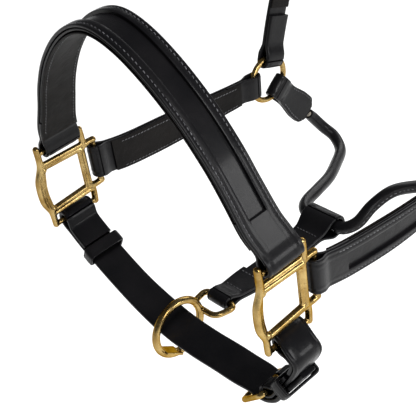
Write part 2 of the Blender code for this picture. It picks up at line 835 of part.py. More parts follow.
buckled_strap("chin", chin_route, chin_across, steady(CHIN_WIDTH), chin_out,
              Fold(STRAP_BAR, reach=26 * MM), Fold(STRAP_BAR), CHIN_HEEL,
              CHIN_HEEL + 32 * MM, steady(CHIN_WIDTH - 0.5 * MM),
              (("chin_fixed_keeper", 17 * MM, 9 * MM),), (1,))

off_keeper_at = min(range(len(chin_route)),
                    key=lambda i: abs(run_lengths(chin_route)[i] - 33 * MM))
off_line = tangents_of(chin_route)[off_keeper_at]
off_normal = off_line.cross(BAR_Y).normalized()
off_normal = off_normal if off_normal.z < 0 else -off_normal
keeper("off_chin_keeper", chin_route[off_keeper_at], off_line, BAR_Y, -(STRAP_LEATHER + GAP / 2),
       STRAP_LEATHER + GAP / 2, CHIN_WIDTH / 2 + 0.4 * MM, 9 * MM, off_normal)


# ---- chin ring and jaw strap ----------------------------------------------------

chin_ring_place = head(-1.5, 1.5, -79.5)
LOOP_BACK = 40.0                    # head place of the small loop's strap bar, along Y
LOOP_HALF_WIDTH = 14.5 * MM
LOOP_FRONT = 23.5                   # head place of the loop's front, on the ring
loop_place = head(0, LOOP_BACK, -78)
loop_corners = [head(-LOOP_HALF_WIDTH / MM, LOOP_BACK, -78),
                head(LOOP_HALF_WIDTH / MM, LOOP_BACK, -78),
                head(LOOP_HALF_WIDTH / MM * 0.75, LOOP_FRONT, -78),
                head(-LOOP_HALF_WIDTH / MM * 0.75, LOOP_FRONT, -78)]
small_loop = wire_mesh(rounded(loop_corners, 5.0 * MM, 5), 2.2 * MM, closed=True)
big_ring = torus_mesh(chin_ring_place, X, CHIN_RADIUS, CHIN_WIRE, steps=32)
plate = box_mesh(chin_ring_place + Vector((0, -9.5, -14.6)) * MM,
                 Vector((11, 16, 1.8)) * MM, Quaternion(X, math.radians(-33)).to_matrix().to_4x4())
add_part("chin_ring", joined(big_ring, [small_loop, plate]), BRASS, origin=loop_place)

roll_place = head(0, 147, -70)
jaw_points = [loop_place, head(0, 75, -78.5), head(0, 112, -76), roll_place]
jaw_route = smooth_route(jaw_points, 5 * MM)
jaw_length = run_lengths(jaw_route)[-1]


def jaw_width(at):
    flare = (T_WIDTH - JAW_WIDTH) * ease((at - jaw_length + 22 * MM) / (18 * MM))
    return JAW_LOOP_WIDTH + (JAW_WIDTH - JAW_LOOP_WIDTH) * ease(at / (30 * MM)) + flare


jaw_rows = strap_rows(jaw_route, steady(X), jaw_width, OUTER_LEATHER, steady(-Z),
                      Fold(2.2 * MM, reach=34 * MM),
                      Fold(ROLL_RADIUS + 0.9 * MM, hold=3 * MM, neck=14 * MM, reach=34 * MM))
add_part("jaw_strap", strap_mesh(jaw_rows, OUTER_LEATHER), BLACK)


# ---- rolled throat, its tabs and the snap ----------------------------------------

TAB_LENGTH = 66.0 * MM


def tab_width(length):
    def width(at):
        swell = RING_WIDTH + 5 * MM * ease((at - length * 0.3) / (length * 0.4))
        return swell * (1 - 0.6 * ease((at - length + 9 * MM) / (9 * MM)))
    return width


off_start = ring_chord(-1, TAB_DIRECTION)
off_tab_end = off_start + TAB_DIRECTION * (TAB_LENGTH - 14 * MM) + X * 1.5 * MM
off_tab_route = smooth_route([off_start, off_start + TAB_DIRECTION * 24 * MM, off_tab_end], 4 * MM)
off_tab_length = run_lengths(off_tab_route)[-1]
fold = ring_fold(off_tab_length - 3 * MM)
rows = strap_rows(off_tab_route, steady(TAB_ACROSS), tab_width(off_tab_length), OUTER_LEATHER,
                  steady(-X), fold)
add_part("off_throat_tab", strap_mesh(rows, OUTER_LEATHER), BLACK)

hook_place = ring_place(1) + TAB_DIRECTION * RING_RADIUS
bolt_line = X * SNAP_REACH


def snap_at(along, outward=0.0, sideways=0.0):
    """A place on the snap: along its length from the ring's wire, and out from its bolt."""
    return (hook_place + TAB_DIRECTION * along + bolt_line + X * outward
            + TAB_ACROSS * sideways)


BARREL_START = 13.0 * MM
barrel_end = BARREL_START + BARREL_LENGTH
eye_bar = barrel_end + 12.5 * MM
near_start = snap_at(eye_bar)
near_tab_end = near_start + TAB_DIRECTION * 38 * MM - X * 6 * MM
near_tab_route = smooth_route([near_start, near_start + TAB_DIRECTION * 18 * MM - X * 1.5 * MM,
                               near_tab_end], 4 * MM)
near_tab_length = run_lengths(near_tab_route)[-1]
rows = strap_rows(near_tab_route, steady(TAB_ACROSS), tab_width(near_tab_length),
                  OUTER_LEATHER, steady(X), Fold(2.1 * MM, reach=near_tab_length - 3 * MM))
add_part("near_throat_tab", strap_mesh(rows, OUTER_LEATHER), BLACK)

ROLL_POINTS = [(-94, 256, -74), (-85, 260, -82), (-71, 251, -86), (-57, 229, -83),
               (-43, 204, -78), (-34, 180, -74), (-27, 159, -71.5), (-18, 148, -70.1),
               (-8, 147, -70), (8, 147, -70), (18, 148, -69.9), (25, 156, -66),
               (28, 169, -57), (32, 187, -52), (38, 208, -56), (48, 230, -62),
               (62, 252, -74), (78, 268, -88), (92, 275, -98)]
off_line = (off_tab_route[-1] - off_tab_route[-2]).normalized()
near_line = (near_tab_route[-1] - near_tab_route[-2]).normalized()
roll_points = [off_tab_end + off_line * 0.6 * MM, off_tab_end + off_line * 9 * MM]
roll_points += [head(*p) for p in ROLL_POINTS]
roll_points += [near_tab_end + near_line * 9 * MM, near_tab_end + near_line * 0.6 * MM]
roll_route = smooth_route(roll_points, 11 * MM)


def roll_mesh(route, radius, wall):
    """A leather tube along the route, open at both ends."""
    curve = bpy.data.curves.new("roll", "CURVE")
    curve.dimensions = "3D"
    curve.bevel_depth = radius
    curve.bevel_resolution = 2
    spline = curve.splines.new("POLY")
    spline.points.add(len(route) - 1)
    for slot, point in zip(spline.points, route):
        slot.co = (*point, 1.0)
    tube = bpy.data.objects.new("roll", curve)
    PARTS.objects.link(tube)
    skin = bpy.data.objects.new("skin", mesh_of(tube))
    PARTS.objects.link(skin)
    solid = skin.modifiers.new("leather", "SOLIDIFY")
    solid.thickness = wall
    solid.offset = -1.0
    return mesh_of(skin)


add_part("rolled_throat", roll_mesh(roll_route, ROLL_RADIUS, ROLL_RADIUS - CORE_RADIUS - GAP),
         BLACK)
add_part("rolled_throat_core", wire_mesh(roll_route, CORE_RADIUS), CORD)

HOOK_SLACK = 1.3 * MM
HOOK_TIP = 1.5 * MM                 # straight end of the hook, facing the bolt
hook_front = -(RING_WIRE + HOOK_SLACK + SNAP_WIRE)
hook_middle = hook_front + SNAP_REACH
hook_points = [snap_at(BARREL_START + 7 * MM, -BARREL_RADIUS),
               snap_at(BARREL_START + 1 * MM, -BARREL_RADIUS - 6 * MM)]
for k in range(11):
    turn = math.pi * k / 10
    hook_points.append(snap_at(hook_middle - SNAP_REACH * math.sin(turn),
                               -SNAP_REACH - SNAP_REACH * math.cos(turn)))
hook_points.append(snap_at(hook_middle + HOOK_TIP, 0))
barrel_bore = BOLT_RADIUS + 0.35 * MM
chamber_end = barrel_end - 6 * MM
barrel = rod_mesh(snap_at(BARREL_START), snap_at(barrel_end), BARREL_RADIUS, 20)
collar = rod_mesh(snap_at(barrel_end - 5 * MM), snap_at(barrel_end - 1 * MM),
                  BARREL_RADIUS + 1 * MM, 20)
solid_body = joined(barrel, [wire_mesh(hook_points, SNAP_WIRE), collar])
bore = rod_mesh(snap_at(BARREL_START - 8 * MM), snap_at(chamber_end), barrel_bore, 16)
stem_bore = rod_mesh(snap_at(chamber_end - 2 * MM), snap_at(barrel_end + 3 * MM), 2.1 * MM, 12)
STUD_AT = BARREL_START + 6 * MM
slot_middle = STUD_AT + BOLT_TRAVEL / 2
stud_slot = box_mesh(snap_at(slot_middle, BARREL_RADIUS),
                     Vector((8 * MM, 3.6 * MM, BOLT_TRAVEL + 4.5 * MM)),
                     turned(TAB_DIRECTION, X))
snap_body = joined(solid_body, [bore, stem_bore, stud_slot], "DIFFERENCE")
add_part("snap_body", snap_body, BRASS, origin=snap_at(0))

bolt_tip = hook_middle + HOOK_TIP + GAP
bolt_back = STUD_AT + 3 * MM
add_part("snap_bolt", rod_mesh(snap_at(bolt_tip), snap_at(bolt_back), BOLT_RADIUS, 16), BRASS,
         origin=snap_at(STUD_AT))
stud_stem = rod_mesh(snap_at(STUD_AT, BOLT_RADIUS + GAP),
                     snap_at(STUD_AT, BARREL_RADIUS + 2 * MM), 1.4 * MM, 12)
stud_knob = rod_mesh(snap_at(STUD_AT, BARREL_RADIUS + 1 * MM),
                     snap_at(STUD_AT, BARREL_RADIUS + 3.5 * MM), 2.4 * MM, 16, 3.1 * MM)
add_part("snap_thumb_stud", joined(stud_stem, [stud_knob]), BRASS, origin=snap_at(STUD_AT))

HEAD_THICK = 1.6 * MM
stem_head = rod_mesh(snap_at(chamber_end - GAP - HEAD_THICK), snap_at(chamber_end - GAP),
                     2.45 * MM, 14)
stem = rod_mesh(snap_at(chamber_end - 1 * MM), snap_at(barrel_end + 4 * MM), 1.75 * MM, 12)
eye_half = RING_WIDTH / 2 + 4.5 * MM
eye_front = barrel_end + 3.2 * MM
eye_corners = [snap_at(eye_bar, 0, -eye_half), snap_at(eye_bar, 0, eye_half),
               snap_at(eye_front, 0, eye_half * 0.85), snap_at(eye_front, 0, -eye_half * 0.85)]
eye_loop = wire_mesh(rounded(eye_corners, 3.5 * MM, 4), 2.0 * MM, closed=True)
add_part("snap_swivel_eye", joined(eye_loop, [stem, stem_head]), BRASS, origin=snap_at(0))

spring_start = bolt_back + 0.8 * MM
spring_end = chamber_end - 2 * GAP - HEAD_THICK - 0.5 * MM
SPRING_TURNS = 5
SPRING_STEPS = 8
spring_points = []
for k in range(SPRING_TURNS * SPRING_STEPS + 1):
    turn = 2 * math.pi * k / SPRING_STEPS
    along = spring_start + (spring_end - spring_start) * k / (SPRING_TURNS * SPRING_STEPS)
    spring_points.append(snap_at(along, 1.8 * MM * math.cos(turn), 1.8 * MM * math.sin(turn)))
add_part("snap_spring", wire_mesh(spring_points, 0.35 * MM, sides=1), STEEL)
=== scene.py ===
"""Looks for the leather headcollar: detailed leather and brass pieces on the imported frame."""

import json
import math
from bisect import bisect_right
from dataclasses import dataclass

import bmesh
import bpy
from mathutils import Matrix, Vector


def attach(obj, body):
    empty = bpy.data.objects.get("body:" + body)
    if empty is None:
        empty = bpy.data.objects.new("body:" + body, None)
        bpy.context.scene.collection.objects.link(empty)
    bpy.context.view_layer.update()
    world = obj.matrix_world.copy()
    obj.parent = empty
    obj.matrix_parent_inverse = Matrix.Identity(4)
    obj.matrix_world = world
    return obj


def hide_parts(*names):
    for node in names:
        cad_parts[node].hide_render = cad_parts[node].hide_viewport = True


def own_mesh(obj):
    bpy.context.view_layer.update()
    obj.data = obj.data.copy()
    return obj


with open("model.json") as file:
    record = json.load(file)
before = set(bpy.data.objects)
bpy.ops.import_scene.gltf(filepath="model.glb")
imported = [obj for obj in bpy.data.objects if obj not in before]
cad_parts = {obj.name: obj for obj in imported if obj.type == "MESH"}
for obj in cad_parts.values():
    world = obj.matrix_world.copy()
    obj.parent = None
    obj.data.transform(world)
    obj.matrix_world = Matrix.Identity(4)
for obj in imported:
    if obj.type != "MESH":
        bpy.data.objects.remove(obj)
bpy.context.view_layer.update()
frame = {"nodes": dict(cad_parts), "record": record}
NODES = frame["nodes"]
ROOT = "headcollar"

MM = 0.001
GAP = 0.3 * MM
X = Vector((1.0, 0.0, 0.0))
Y = Vector((0.0, 1.0, 0.0))
Z = Vector((0.0, 0.0, 1.0))
POLL = (0.0, 249.0, 219.0)

SQUARE_X = 100.0
RING_PLACE = (100.0, 198.0, -6.0)
SQUARE_HALF = 15.5 * MM
LOOP_BACK_OUT = 25.0 * MM
LOOP_END_OUT = 29.0 * MM
EAR_HALF = 16.8 * MM
FRONT_EAR = 18.6 * MM
SQUARE_TIP = math.radians(4.0)
STRAP_BAR = 2.5 * MM
RING_RADIUS = 17.75 * MM
RING_WIRE = 2.25 * MM
CHIN_RADIUS = 19.8 * MM
CHIN_WIRE = 2.7 * MM
NOSE_WIDTH = 26.5 * MM
NOSE_FOOT_WIDTH = 28.5 * MM
CHEEK_WIDTH = 25.0 * MM
RING_WIDTH = 19.0 * MM
CROWN_WIDTH = 20.0 * MM
CHIN_WIDTH = 24.0 * MM
JAW_WIDTH = 23.5 * MM
JAW_LOOP_WIDTH = 18.0 * MM
T_WIDTH = 28.0 * MM
PADDED = 2.1 * MM
CORE = 1.9 * MM
LINING = 1.2 * MM
OUTER = 2.6 * MM
STRAP = 3.0 * MM
KEEPER = 1.8 * MM
KEEPER_SLACK = 0.7 * MM
KEEPER_SNUG = 0.4 * MM
CHANNEL_HALF = 6.5 * MM
CHANNEL_DEPTH = 2.1 * MM
ROLL_RADIUS = 4.75 * MM
BUCKLE_WIRE = 1.9 * MM
BUCKLE_LENGTH = 23.0 * MM
TONGUE_WIRE = 1.25 * MM
BILLET_PITCH = 20.0 * MM
BILLET_HOLE = 2.2 * MM
SNAP_WIRE = 2.5 * MM
SNAP_REACH = 7.5 * MM
BARREL_RADIUS = 5.0 * MM
BARREL_LENGTH = 27.0 * MM
BOLT_RADIUS = 2.3 * MM
BOLT_TRAVEL = 7.0 * MM
WELD = 0.01 * MM
FOLD_STEPS = 16                         # steps round a fold
SHARP = 52                              # degrees past which leather is shaded as an edge
FOLD_CLEAR = 1.2 * MM                   # from a fold's bar to the first straight cross-section

BAR_Y = Y * math.cos(SQUARE_TIP) + Z * math.sin(SQUARE_TIP)
BAR_Z = X.cross(BAR_Y)


def head(x, y, z):
    """A place on the head in millimetres, from the point midway between the squares."""
    return Vector((x - POLL[0], y - POLL[1], z - POLL[2])) * MM


# ---- materials ----

class Finish:
    """A material whose colour, roughness and bumps come from procedural textures."""

    def __init__(self, name, colour, roughness, metallic=0.0):
        self.material = bpy.data.materials.new(name)
        self.material.use_nodes = True
        self.tree = self.material.node_tree
        self.inputs = self.tree.nodes["Principled BSDF"].inputs
        self.inputs["Base Color"].default_value = (*colour, 1.0)
        self.inputs["Roughness"].default_value = roughness
        self.inputs["Metallic"].default_value = metallic

    def node(self, kind, **inputs):
        """A new node; each input is a value or another node's output."""
        node = self.tree.nodes.new("ShaderNode" + kind)
        for name, value in inputs.items():
            socket = node.inputs[name.replace("_", " ")]
            if isinstance(value, bpy.types.NodeSocket):
                self.tree.links.new(value, socket)
            else:
                socket.default_value = value
        return node

    def texture(self, kind, scale, detail=2.0, output="Fac", stretch=(1, 1, 1)):
        """A texture on the object's own coordinates."""
        place = self.node("TexCoord").outputs["Object"]
        mapping = self.node("Mapping", Vector=place, Scale=stretch).outputs["Vector"]
        return self.node("Tex" + kind, Vector=mapping, Scale=scale,
                         Detail=detail).outputs[output]

    def mottled(self, factor, low, high):
        """The base colour drifts between two (factor, colour) stops."""
        node = self.node("ValToRGB", Fac=factor)
        for element, (place, colour) in zip(node.color_ramp.elements, (low, high)):
            element.position = place
            element.color = (*colour, 1.0)
        self.tree.links.new(node.outputs["Color"], self.inputs["Base Color"])

    def uneven(self, factor, low, high):
        """The roughness drifts from low to high."""
        node = self.node("MapRange", Value=factor, To_Min=low, To_Max=high)
        self.tree.links.new(node.outputs["Result"], self.inputs["Roughness"])

    def bumps(self, *layers):
        """Stacked bumps: each layer is (height, strength, distance)."""
        below = {}
        for height, strength, distance in layers:
            node = self.node("Bump", Strength=strength, Distance=distance, Height=height, **below)
            below = {"Normal": node.outputs["Normal"]}
        self.tree.links.new(below["Normal"], self.inputs["Normal"])


def leather(name, dark, light, rough, coat, grain=1.0):
    """Dyed strap leather: fine grain, faint pores, and a waxed finish that varies."""
    hide = Finish(name, dark, rough)
    hide.mottled(hide.texture("Noise", 38.0, 3.0), (0.3, dark), (0.72, light))
    hide.uneven(hide.texture("Noise", 140.0, 4.0), rough - 0.09, rough + 0.12)
    cells = hide.texture("Voronoi", 1500.0, output="Distance")
    pores = hide.texture("Noise", 2600.0, 3.0)
    wrinkle = hide.texture("Noise", 260.0, 5.0)
    hide.bumps((wrinkle, 0.16 * grain, 0.0012), (cells, 0.22 * grain, 0.00022),
               (pores, 0.2 * grain, 0.00012))
    hide.inputs["Coat Weight"].default_value = coat
    hide.inputs["Coat Roughness"].default_value = 0.16
    hide.inputs["Specular IOR Level"].default_value = 0.09
    return hide.material


def cast_brass(warm, pale, rough):
    """Polished cast brass: soft handling marks, faint tarnish and a little casting texture."""
    metal = Finish("cast_brass", warm, rough, 1.0)
    metal.inputs["Specular Tint"].default_value = (0.64, 0.42, 0.20, 1.0)
    metal.mottled(metal.texture("Noise", 95.0, 5.0), (0.32, warm), (0.66, pale))
    metal.uneven(metal.texture("Noise", 520.0, 6.0), rough - 0.08, rough + 0.14)
    waves = metal.texture("Noise", 210.0, 3.0)
    pits = metal.texture("Noise", 1900.0, 2.0)
    metal.bumps((waves, 0.07, 0.0011), (pits, 0.03, 0.0002))
    return metal.material


FACE = leather("strap_face", (0.0030, 0.0030, 0.0036), (0.0062, 0.0058, 0.0064), 0.33, 0.12)
EDGE = leather("strap_edge", (0.0065, 0.0045, 0.0035), (0.015, 0.0095, 0.0065), 0.46, 0.05, 1.4)
FLESH = leather("strap_back", (0.0030, 0.0026, 0.0024), (0.0065, 0.0054, 0.0048), 0.55, 0.0, 1.6)
LEATHERS = [FACE, EDGE, FLESH]          # a section's wall numbers: face, edge, back
BACKINGS = [FLESH, EDGE, FLESH]
BRASS = cast_brass((0.24, 0.148, 0.045), (0.44, 0.315, 0.128), 0.22)

thread_finish = Finish("stitch_thread", (0.10, 0.10, 0.11), 0.62)
thread_finish.mottled(thread_finish.texture("Noise", 420.0),
                      (0.35, (0.03, 0.03, 0.033)), (0.68, (0.13, 0.13, 0.138)))
thread_finish.bumps((thread_finish.texture("Wave", 1400.0, 1.0, stretch=(1, 1, 1.6)), 0.5, 0.0001))

cord_finish = Finish("core_cord", (0.55, 0.50, 0.42), 0.9)
yarn = cord_finish.texture("Wave", 600.0)
cord_finish.mottled(yarn, (0.2, (0.38, 0.33, 0.26)), (0.8, (0.62, 0.57, 0.48)))
cord_finish.bumps((yarn, 0.5, 0.0003))

steel_finish = Finish("spring_wire", (0.50, 0.50, 0.52), 0.3, 1.0)
steel_finish.uneven(steel_finish.texture("Noise", 900.0, 3.0), 0.22, 0.42)

paper_finish = Finish("paper", (0.93, 0.93, 0.925), 0.8)
paper_finish.mottled(paper_finish.texture("Noise", 6.0, 3.0),
                     (0.3, (0.925, 0.925, 0.92)), (0.7, (0.94, 0.94, 0.935)))


# ---- smooth routes ----

def catmull(before, start, end, after, t):
    return 0.5 * ((2 * start) + (end - before) * t
                  + (2 * before - 5 * start + 4 * end - after) * t * t
                  + (3 * start - before - 3 * end + after) * t ** 3)


def curve_points(points):
    ends = [2 * points[0] - points[1]] + list(points) + [2 * points[-1] - points[-2]]
    fine = []
    for i in range(1, len(ends) - 2):
        for step in range(20):
            fine.append(catmull(ends[i - 1], ends[i], ends[i + 1], ends[i + 2], step / 20))
    fine.append(points[-1].copy())
    return fine


class Path:
    """A line that can be read at any length along it; soften rounds off its corners."""

    def __init__(self, fine, soften=0):
        self.points = fine
        self._measure()
        if soften:
            self.points = self.even(1.5 * MM)
            for _ in range(soften):
                inner = [(a + b + c * 2) / 4 for a, b, c in
                         zip(self.points, self.points[2:], self.points[1:])]
                self.points = [self.points[0]] + inner + [self.points[-1]]
            self._measure()

    def _measure(self):
        self.run = [0.0]
        for a, b in zip(self.points, self.points[1:]):
            self.run.append(self.run[-1] + (b - a).length)
        self.length = self.run[-1]

    def at(self, s):
        s = min(max(s, 0.0), self.length)
        low = min(max(bisect_right(self.run, s) - 1, 0), len(self.run) - 2)
        span = max(self.run[low + 1] - self.run[low], 1e-9)
        return self.points[low].lerp(self.points[low + 1], (s - self.run[low]) / span)

    def line(self, s, reach=2.0 * MM):
        return (self.at(s + reach) - self.at(s - reach)).normalized()

    def nearest(self, place):
        """How far along the line passes nearest to a place."""
        tries = [self.length * k / 6000 for k in range(6001)]
        return min(tries, key=lambda s: (self.at(s) - place).length)

    def even(self, spacing):
        count = max(2, round(self.length / spacing))
        return [self.at(self.length * k / count) for k in range(count + 1)]


def curved(points):
    """A smooth line through the points."""
    return Path(curve_points(points))


def ease(t):
    t = min(max(t, 0.0), 1.0)
    return t * t * (3 - 2 * t)


def steady(value):
    return lambda run: value


def fan(path, start, middle):
    """The outer side of a strap that faces start, turns past middle and ends facing away."""
    def out(at):
        angle = math.pi * at / path.length
        return start * math.cos(angle) + middle * math.sin(angle)
    return out


def joint_place(name):
    """Where a joint of the CAD model is."""
    joints = frame["record"]["behaviour"]["joints"]
    return Vector(next(joint["pos_m"] for joint in joints if joint["name"] == name))


def square_bar(side, up, back):
    return (head(side * SQUARE_X, 0, 0) + BAR_Z * up * LOOP_END_OUT
            + BAR_Y * back * LOOP_BACK_OUT)


def ring_place(side):
    return head(side * RING_PLACE[0], RING_PLACE[1], RING_PLACE[2])


def ring_sag(width):
    return RING_RADIUS - math.sqrt(RING_RADIUS ** 2 - (width / 2) ** 2)


def ring_chord(side, direction):
    return ring_place(side) + direction * (RING_RADIUS - ring_sag(RING_WIDTH))


@dataclass
class Fold:
    """A strap end turned back around a bar: held open at first, then closing over the neck."""
    wire: float
    hold: float = 2.0 * MM
    neck: float = 9.0 * MM
    reach: float = 30.0 * MM


def ring_fold(reach):
    slant = math.asin(RING_WIDTH / 2 / RING_RADIUS)
    return Fold(RING_WIRE / math.cos(slant), hold=ring_sag(RING_WIDTH) + 1.5 * MM,
                neck=10 * MM, reach=reach)


# ---- swept leather ----

@dataclass
class Row:
    """Where one cross-section of a strap stands."""
    middle: Vector
    across: Vector
    normal: Vector
    width: float
    run: float
    layer: str


@dataclass
class Course:
    """A strap's middle line with its way across, its width and its outer side."""
    path: Path
    across: object
    width: object
    out: object

    def normal(self, s):
        side = self.path.line(s).cross(self.across(s)).normalized()
        return side if side.dot(self.out(s)) > 0 else -side

    def place(self, s, offset):
        return self.path.at(s) + self.normal(s) * offset

    def row(self, s, offset, layer="main"):
        return Row(self.place(s, offset), self.across(s), self.normal(s), self.width(s), s, layer)


def stops(first, last, spacing, marks=()):
    """Lengths from first to last, closer together at the marks."""
    count = max(1, round((last - first) / spacing))
    found = [first + (last - first) * k / count for k in range(count + 1)]
    for mark in marks:
        found += [mark - 0.35 * MM, mark + 0.35 * MM]
    found = sorted(s for s in found if first <= s <= last)
    kept = [found[0]]
    for s in found[1:]:
        if s - kept[-1] > 0.25 * MM:
            kept.append(s)
    return kept


def fold_rows(course, thickness, start, end=None, lift=steady(0.0), last=None,
              spacing=2.2 * MM, marks=()):
    """Rows of a strap with its ends folded round bars, as the CAD strap runs."""
    path = course.path
    total = path.length
    half = (thickness + GAP) / 2

    def spread(at):
        value = half
        for fold, far in ((start, at), (end, total - at)):
            if fold:
                wide = fold.wire + GAP + thickness / 2
                value = max(value, wide + (half - wide) * ease((far - fold.hold) / fold.neck))
        return value

    def back(first, final, layer):
        return [course.row(s, -spread(s), layer) for s in reversed(stops(first, final, spacing))]

    def bend(s, fold, away, order):
        wide = fold.wire + GAP + thickness / 2
        rows = []
        for k in order:
            angle = math.pi * k / FOLD_STEPS
            spoke = -course.normal(s) * math.cos(angle) + away * math.sin(angle)
            rows.append(Row(path.at(s) + spoke * wide, course.across(s), spoke,
                            course.width(s), s, "bend"))
        return rows

    rows = back(FOLD_CLEAR, start.reach, "start_back")
    rows += bend(0.0, start, -path.line(0.0), range(0, FOLD_STEPS + 1))
    far = total - FOLD_CLEAR if end else last or total
    rows += [course.row(s, spread(s) + lift(s)) for s in stops(FOLD_CLEAR, far, spacing, marks)]
    if end:
        rows += bend(total, end, path.line(total), range(FOLD_STEPS, -1, -1))
        rows += back(total - end.reach, total - FOLD_CLEAR, "end_back")
    return rows


def layer_rows(course, offset, first, last, spacing=2.2 * MM):
    return [course.row(s, offset) for s in stops(first, last, spacing)]


def arc(cx, cy, radius, start, end, steps=4):
    return [(cx + radius * math.cos(math.radians(start + (end - start) * k / steps)),
             cy + radius * math.sin(math.radians(start + (end - start) * k / steps)))
            for k in range(steps + 1)]


def section(width, thickness, top, domed=0.0, edge=None):
    """Outline of a strap's section. top lists (distance from the edge, height) pairs.

    Returns points and, for each side between two points, its material number.
    """
    half = width / 2
    r = edge or min(0.42 * thickness, 1.15 * MM)
    t = thickness / 2
    points = []
    finish = []

    def add(new, number):
        for p in new:
            points.append(p)
            finish.append(number)

    add(arc(-half + r, -t + r, r, 270, 180), 1)
    add(arc(-half + r, t - r, r, 180, 90), 1)
    finish[-1] = 0
    left = [(-half + d, t + v + domed * (1 - ((half - d) / half) ** 2)) for d, v in top]
    add(left, 0)
    if top and abs(half - top[-1][0]) < 1e-7:
        left = left[:-1]
    add([(-x, y) for x, y in reversed(left)], 0)
    add(arc(half - r, t - r, r, 90, 0), 1)
    add(arc(half - r, -t + r, r, 0, -90), 1)
    finish[-1] = 2
    add([(half * 0.5, -t), (0.0, -t), (-half * 0.5, -t)], 2)
    return points, finish


CREASE = [(1.9, 0.0), (2.25, -0.2), (2.6, 0.0)]


def plain_top(width, marks):
    half = width / 2
    return [(d * MM, v * MM) for d, v in marks] + [(half * 0.7, 0.0), (half, 0.0)]


def plain(thickness, domed, marks=CREASE):
    """The outline of an unpadded strap, with its marks given in millimetres."""
    return lambda row: section(row.width, thickness, plain_top(row.width, marks), domed)


def channel_top(width, depth):
    """Stitched rail along each edge, then the wall and floor of the sunk channel."""
    half = width / 2
    inner = half - CHANNEL_HALF
    floor = -CHANNEL_DEPTH * depth
    return [(1.7 * MM, 0.0), (2.5 * MM, -0.3 * MM), (3.3 * MM, 0.0),
            (inner * 0.75, 0.10 * MM), (inner - 0.35 * MM, 0.06 * MM),
            (inner, -0.12 * MM * depth), (inner + 0.25 * MM, floor),
            (inner + 1.4 * MM, floor - 0.06 * MM * depth), (half * 0.78, floor), (half, floor)]


def into(mesh, shell, recalculate=True):
    """Write a bmesh into a mesh and free it."""
    if recalculate:
        bmesh.ops.recalc_face_normals(shell, faces=shell.faces)
    shell.to_mesh(mesh)
    shell.free()
    return mesh


def mesh_of(shell, name, recalculate=True):
    return into(bpy.data.meshes.new(name), shell, recalculate)


def linked(name, data):
    thing = bpy.data.objects.new(name, data)
    bpy.context.scene.collection.objects.link(thing)
    return thing


def sweep(name, rows, outline, node, materials=LEATHERS, body=ROOT,
          closed=False):
    """A solid leather piece: outline(row) drawn at each row; closed joins last to first."""
    shell = bmesh.new()
    grid = []
    for row in rows:
        points, walls = outline(row)
        grid.append([shell.verts.new(row.middle + row.across * u + row.normal * v)
                     for u, v in points])
    count = len(walls)
    for r in range(len(rows) if closed else len(rows) - 1):
        here, there = grid[r], grid[(r + 1) % len(rows)]
        for c in range(count):
            d = (c + 1) % count
            face = shell.faces.new((here[c], here[d], there[d], there[c]))
            face.material_index = walls[c]
            face.smooth = True
    if not closed:
        for ring in (list(reversed(grid[0])), grid[-1]):
            shell.faces.new(ring).material_index = 1
    return finished(name, mesh_of(shell, name), materials, node, body)


def finished(name, mesh, materials, node=None, body=ROOT, sharp=SHARP):
    """A piece on a body, in place of a CAD node where one is given."""
    piece = linked(name, mesh)
    mesh.materials.clear()
    for material in materials:
        mesh.materials.append(material)
    mesh.shade_smooth()
    mesh.set_sharp_from_angle(angle=math.radians(sharp))
    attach(piece, body)
    if node:
        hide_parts(node)
    return piece


class Stitches:
    """Every stitch of one piece, gathered into one mesh."""

    def __init__(self, name):
        self.name = name
        self.shell = bmesh.new()

    def one(self, middle, along, up, length, radius):
        side = along.cross(up).normalized()
        line = (along + side * 0.16).normalized()
        side = line.cross(up).normalized()
        rings = []
        for place, size, sink in ((-0.5, 0.45, -0.9), (-0.32, 0.95, -0.1), (0.0, 1.0, 0.22),
                                  (0.32, 0.95, -0.1), (0.5, 0.45, -0.9)):
            centre = middle + line * (length * place) + up * (radius * sink)
            rings.append([self.shell.verts.new(centre + (side * math.cos(k * math.pi / 3)
                                                         + up * math.sin(k * math.pi / 3))
                                               * radius * size) for k in range(6)])
        for a, b in zip(rings, rings[1:]):
            for k in range(6):
                m = (k + 1) % 6
                self.shell.faces.new((a[k], a[m], b[m], b[k])).smooth = True
        self.shell.faces.new(list(reversed(rings[0])))
        self.shell.faces.new(rings[-1])

    def along(self, course, first, last, offset, inset, lift=steady(0.0), face=1,
              stitch=(3.0 * MM, 2.1 * MM, 0.3 * MM)):
        """A line near each edge. face is -1 under the strap; stitch is pitch, length, radius."""
        pitch, length, radius = stitch
        count = max(1, round((last - first) / pitch))
        for k in range(count):
            s = first + (last - first) * (k + 0.5) / count
            middle = course.place(s, offset + lift(s))
            for side in (-1, 1):
                reach = side * (course.width(s) / 2 - inset)
                self.one(middle + course.across(s) * reach, course.path.line(s),
                         course.normal(s) * face, length, radius)

    def across(self, course, s, offset, inset, face=1, stitch=(3.0 * MM, 2.2 * MM, 0.34 * MM)):
        """A line from edge to edge."""
        pitch, length, radius = stitch
        half = course.width(s) / 2 - inset
        count = max(1, round(2 * half / pitch))
        for k in range(count):
            u = -half + 2 * half * (k + 0.5) / count
            self.one(course.place(s, offset) + course.across(s) * u, course.across(s),
                     course.normal(s) * face, length, radius)

    def done(self):
        finished(self.name, mesh_of(self.shell, self.name), [thread_finish.material],
                 sharp=80)


HAND_STITCH = (2.9 * MM, 2.2 * MM, 0.33 * MM)


# ---- noseband and cheeks ----

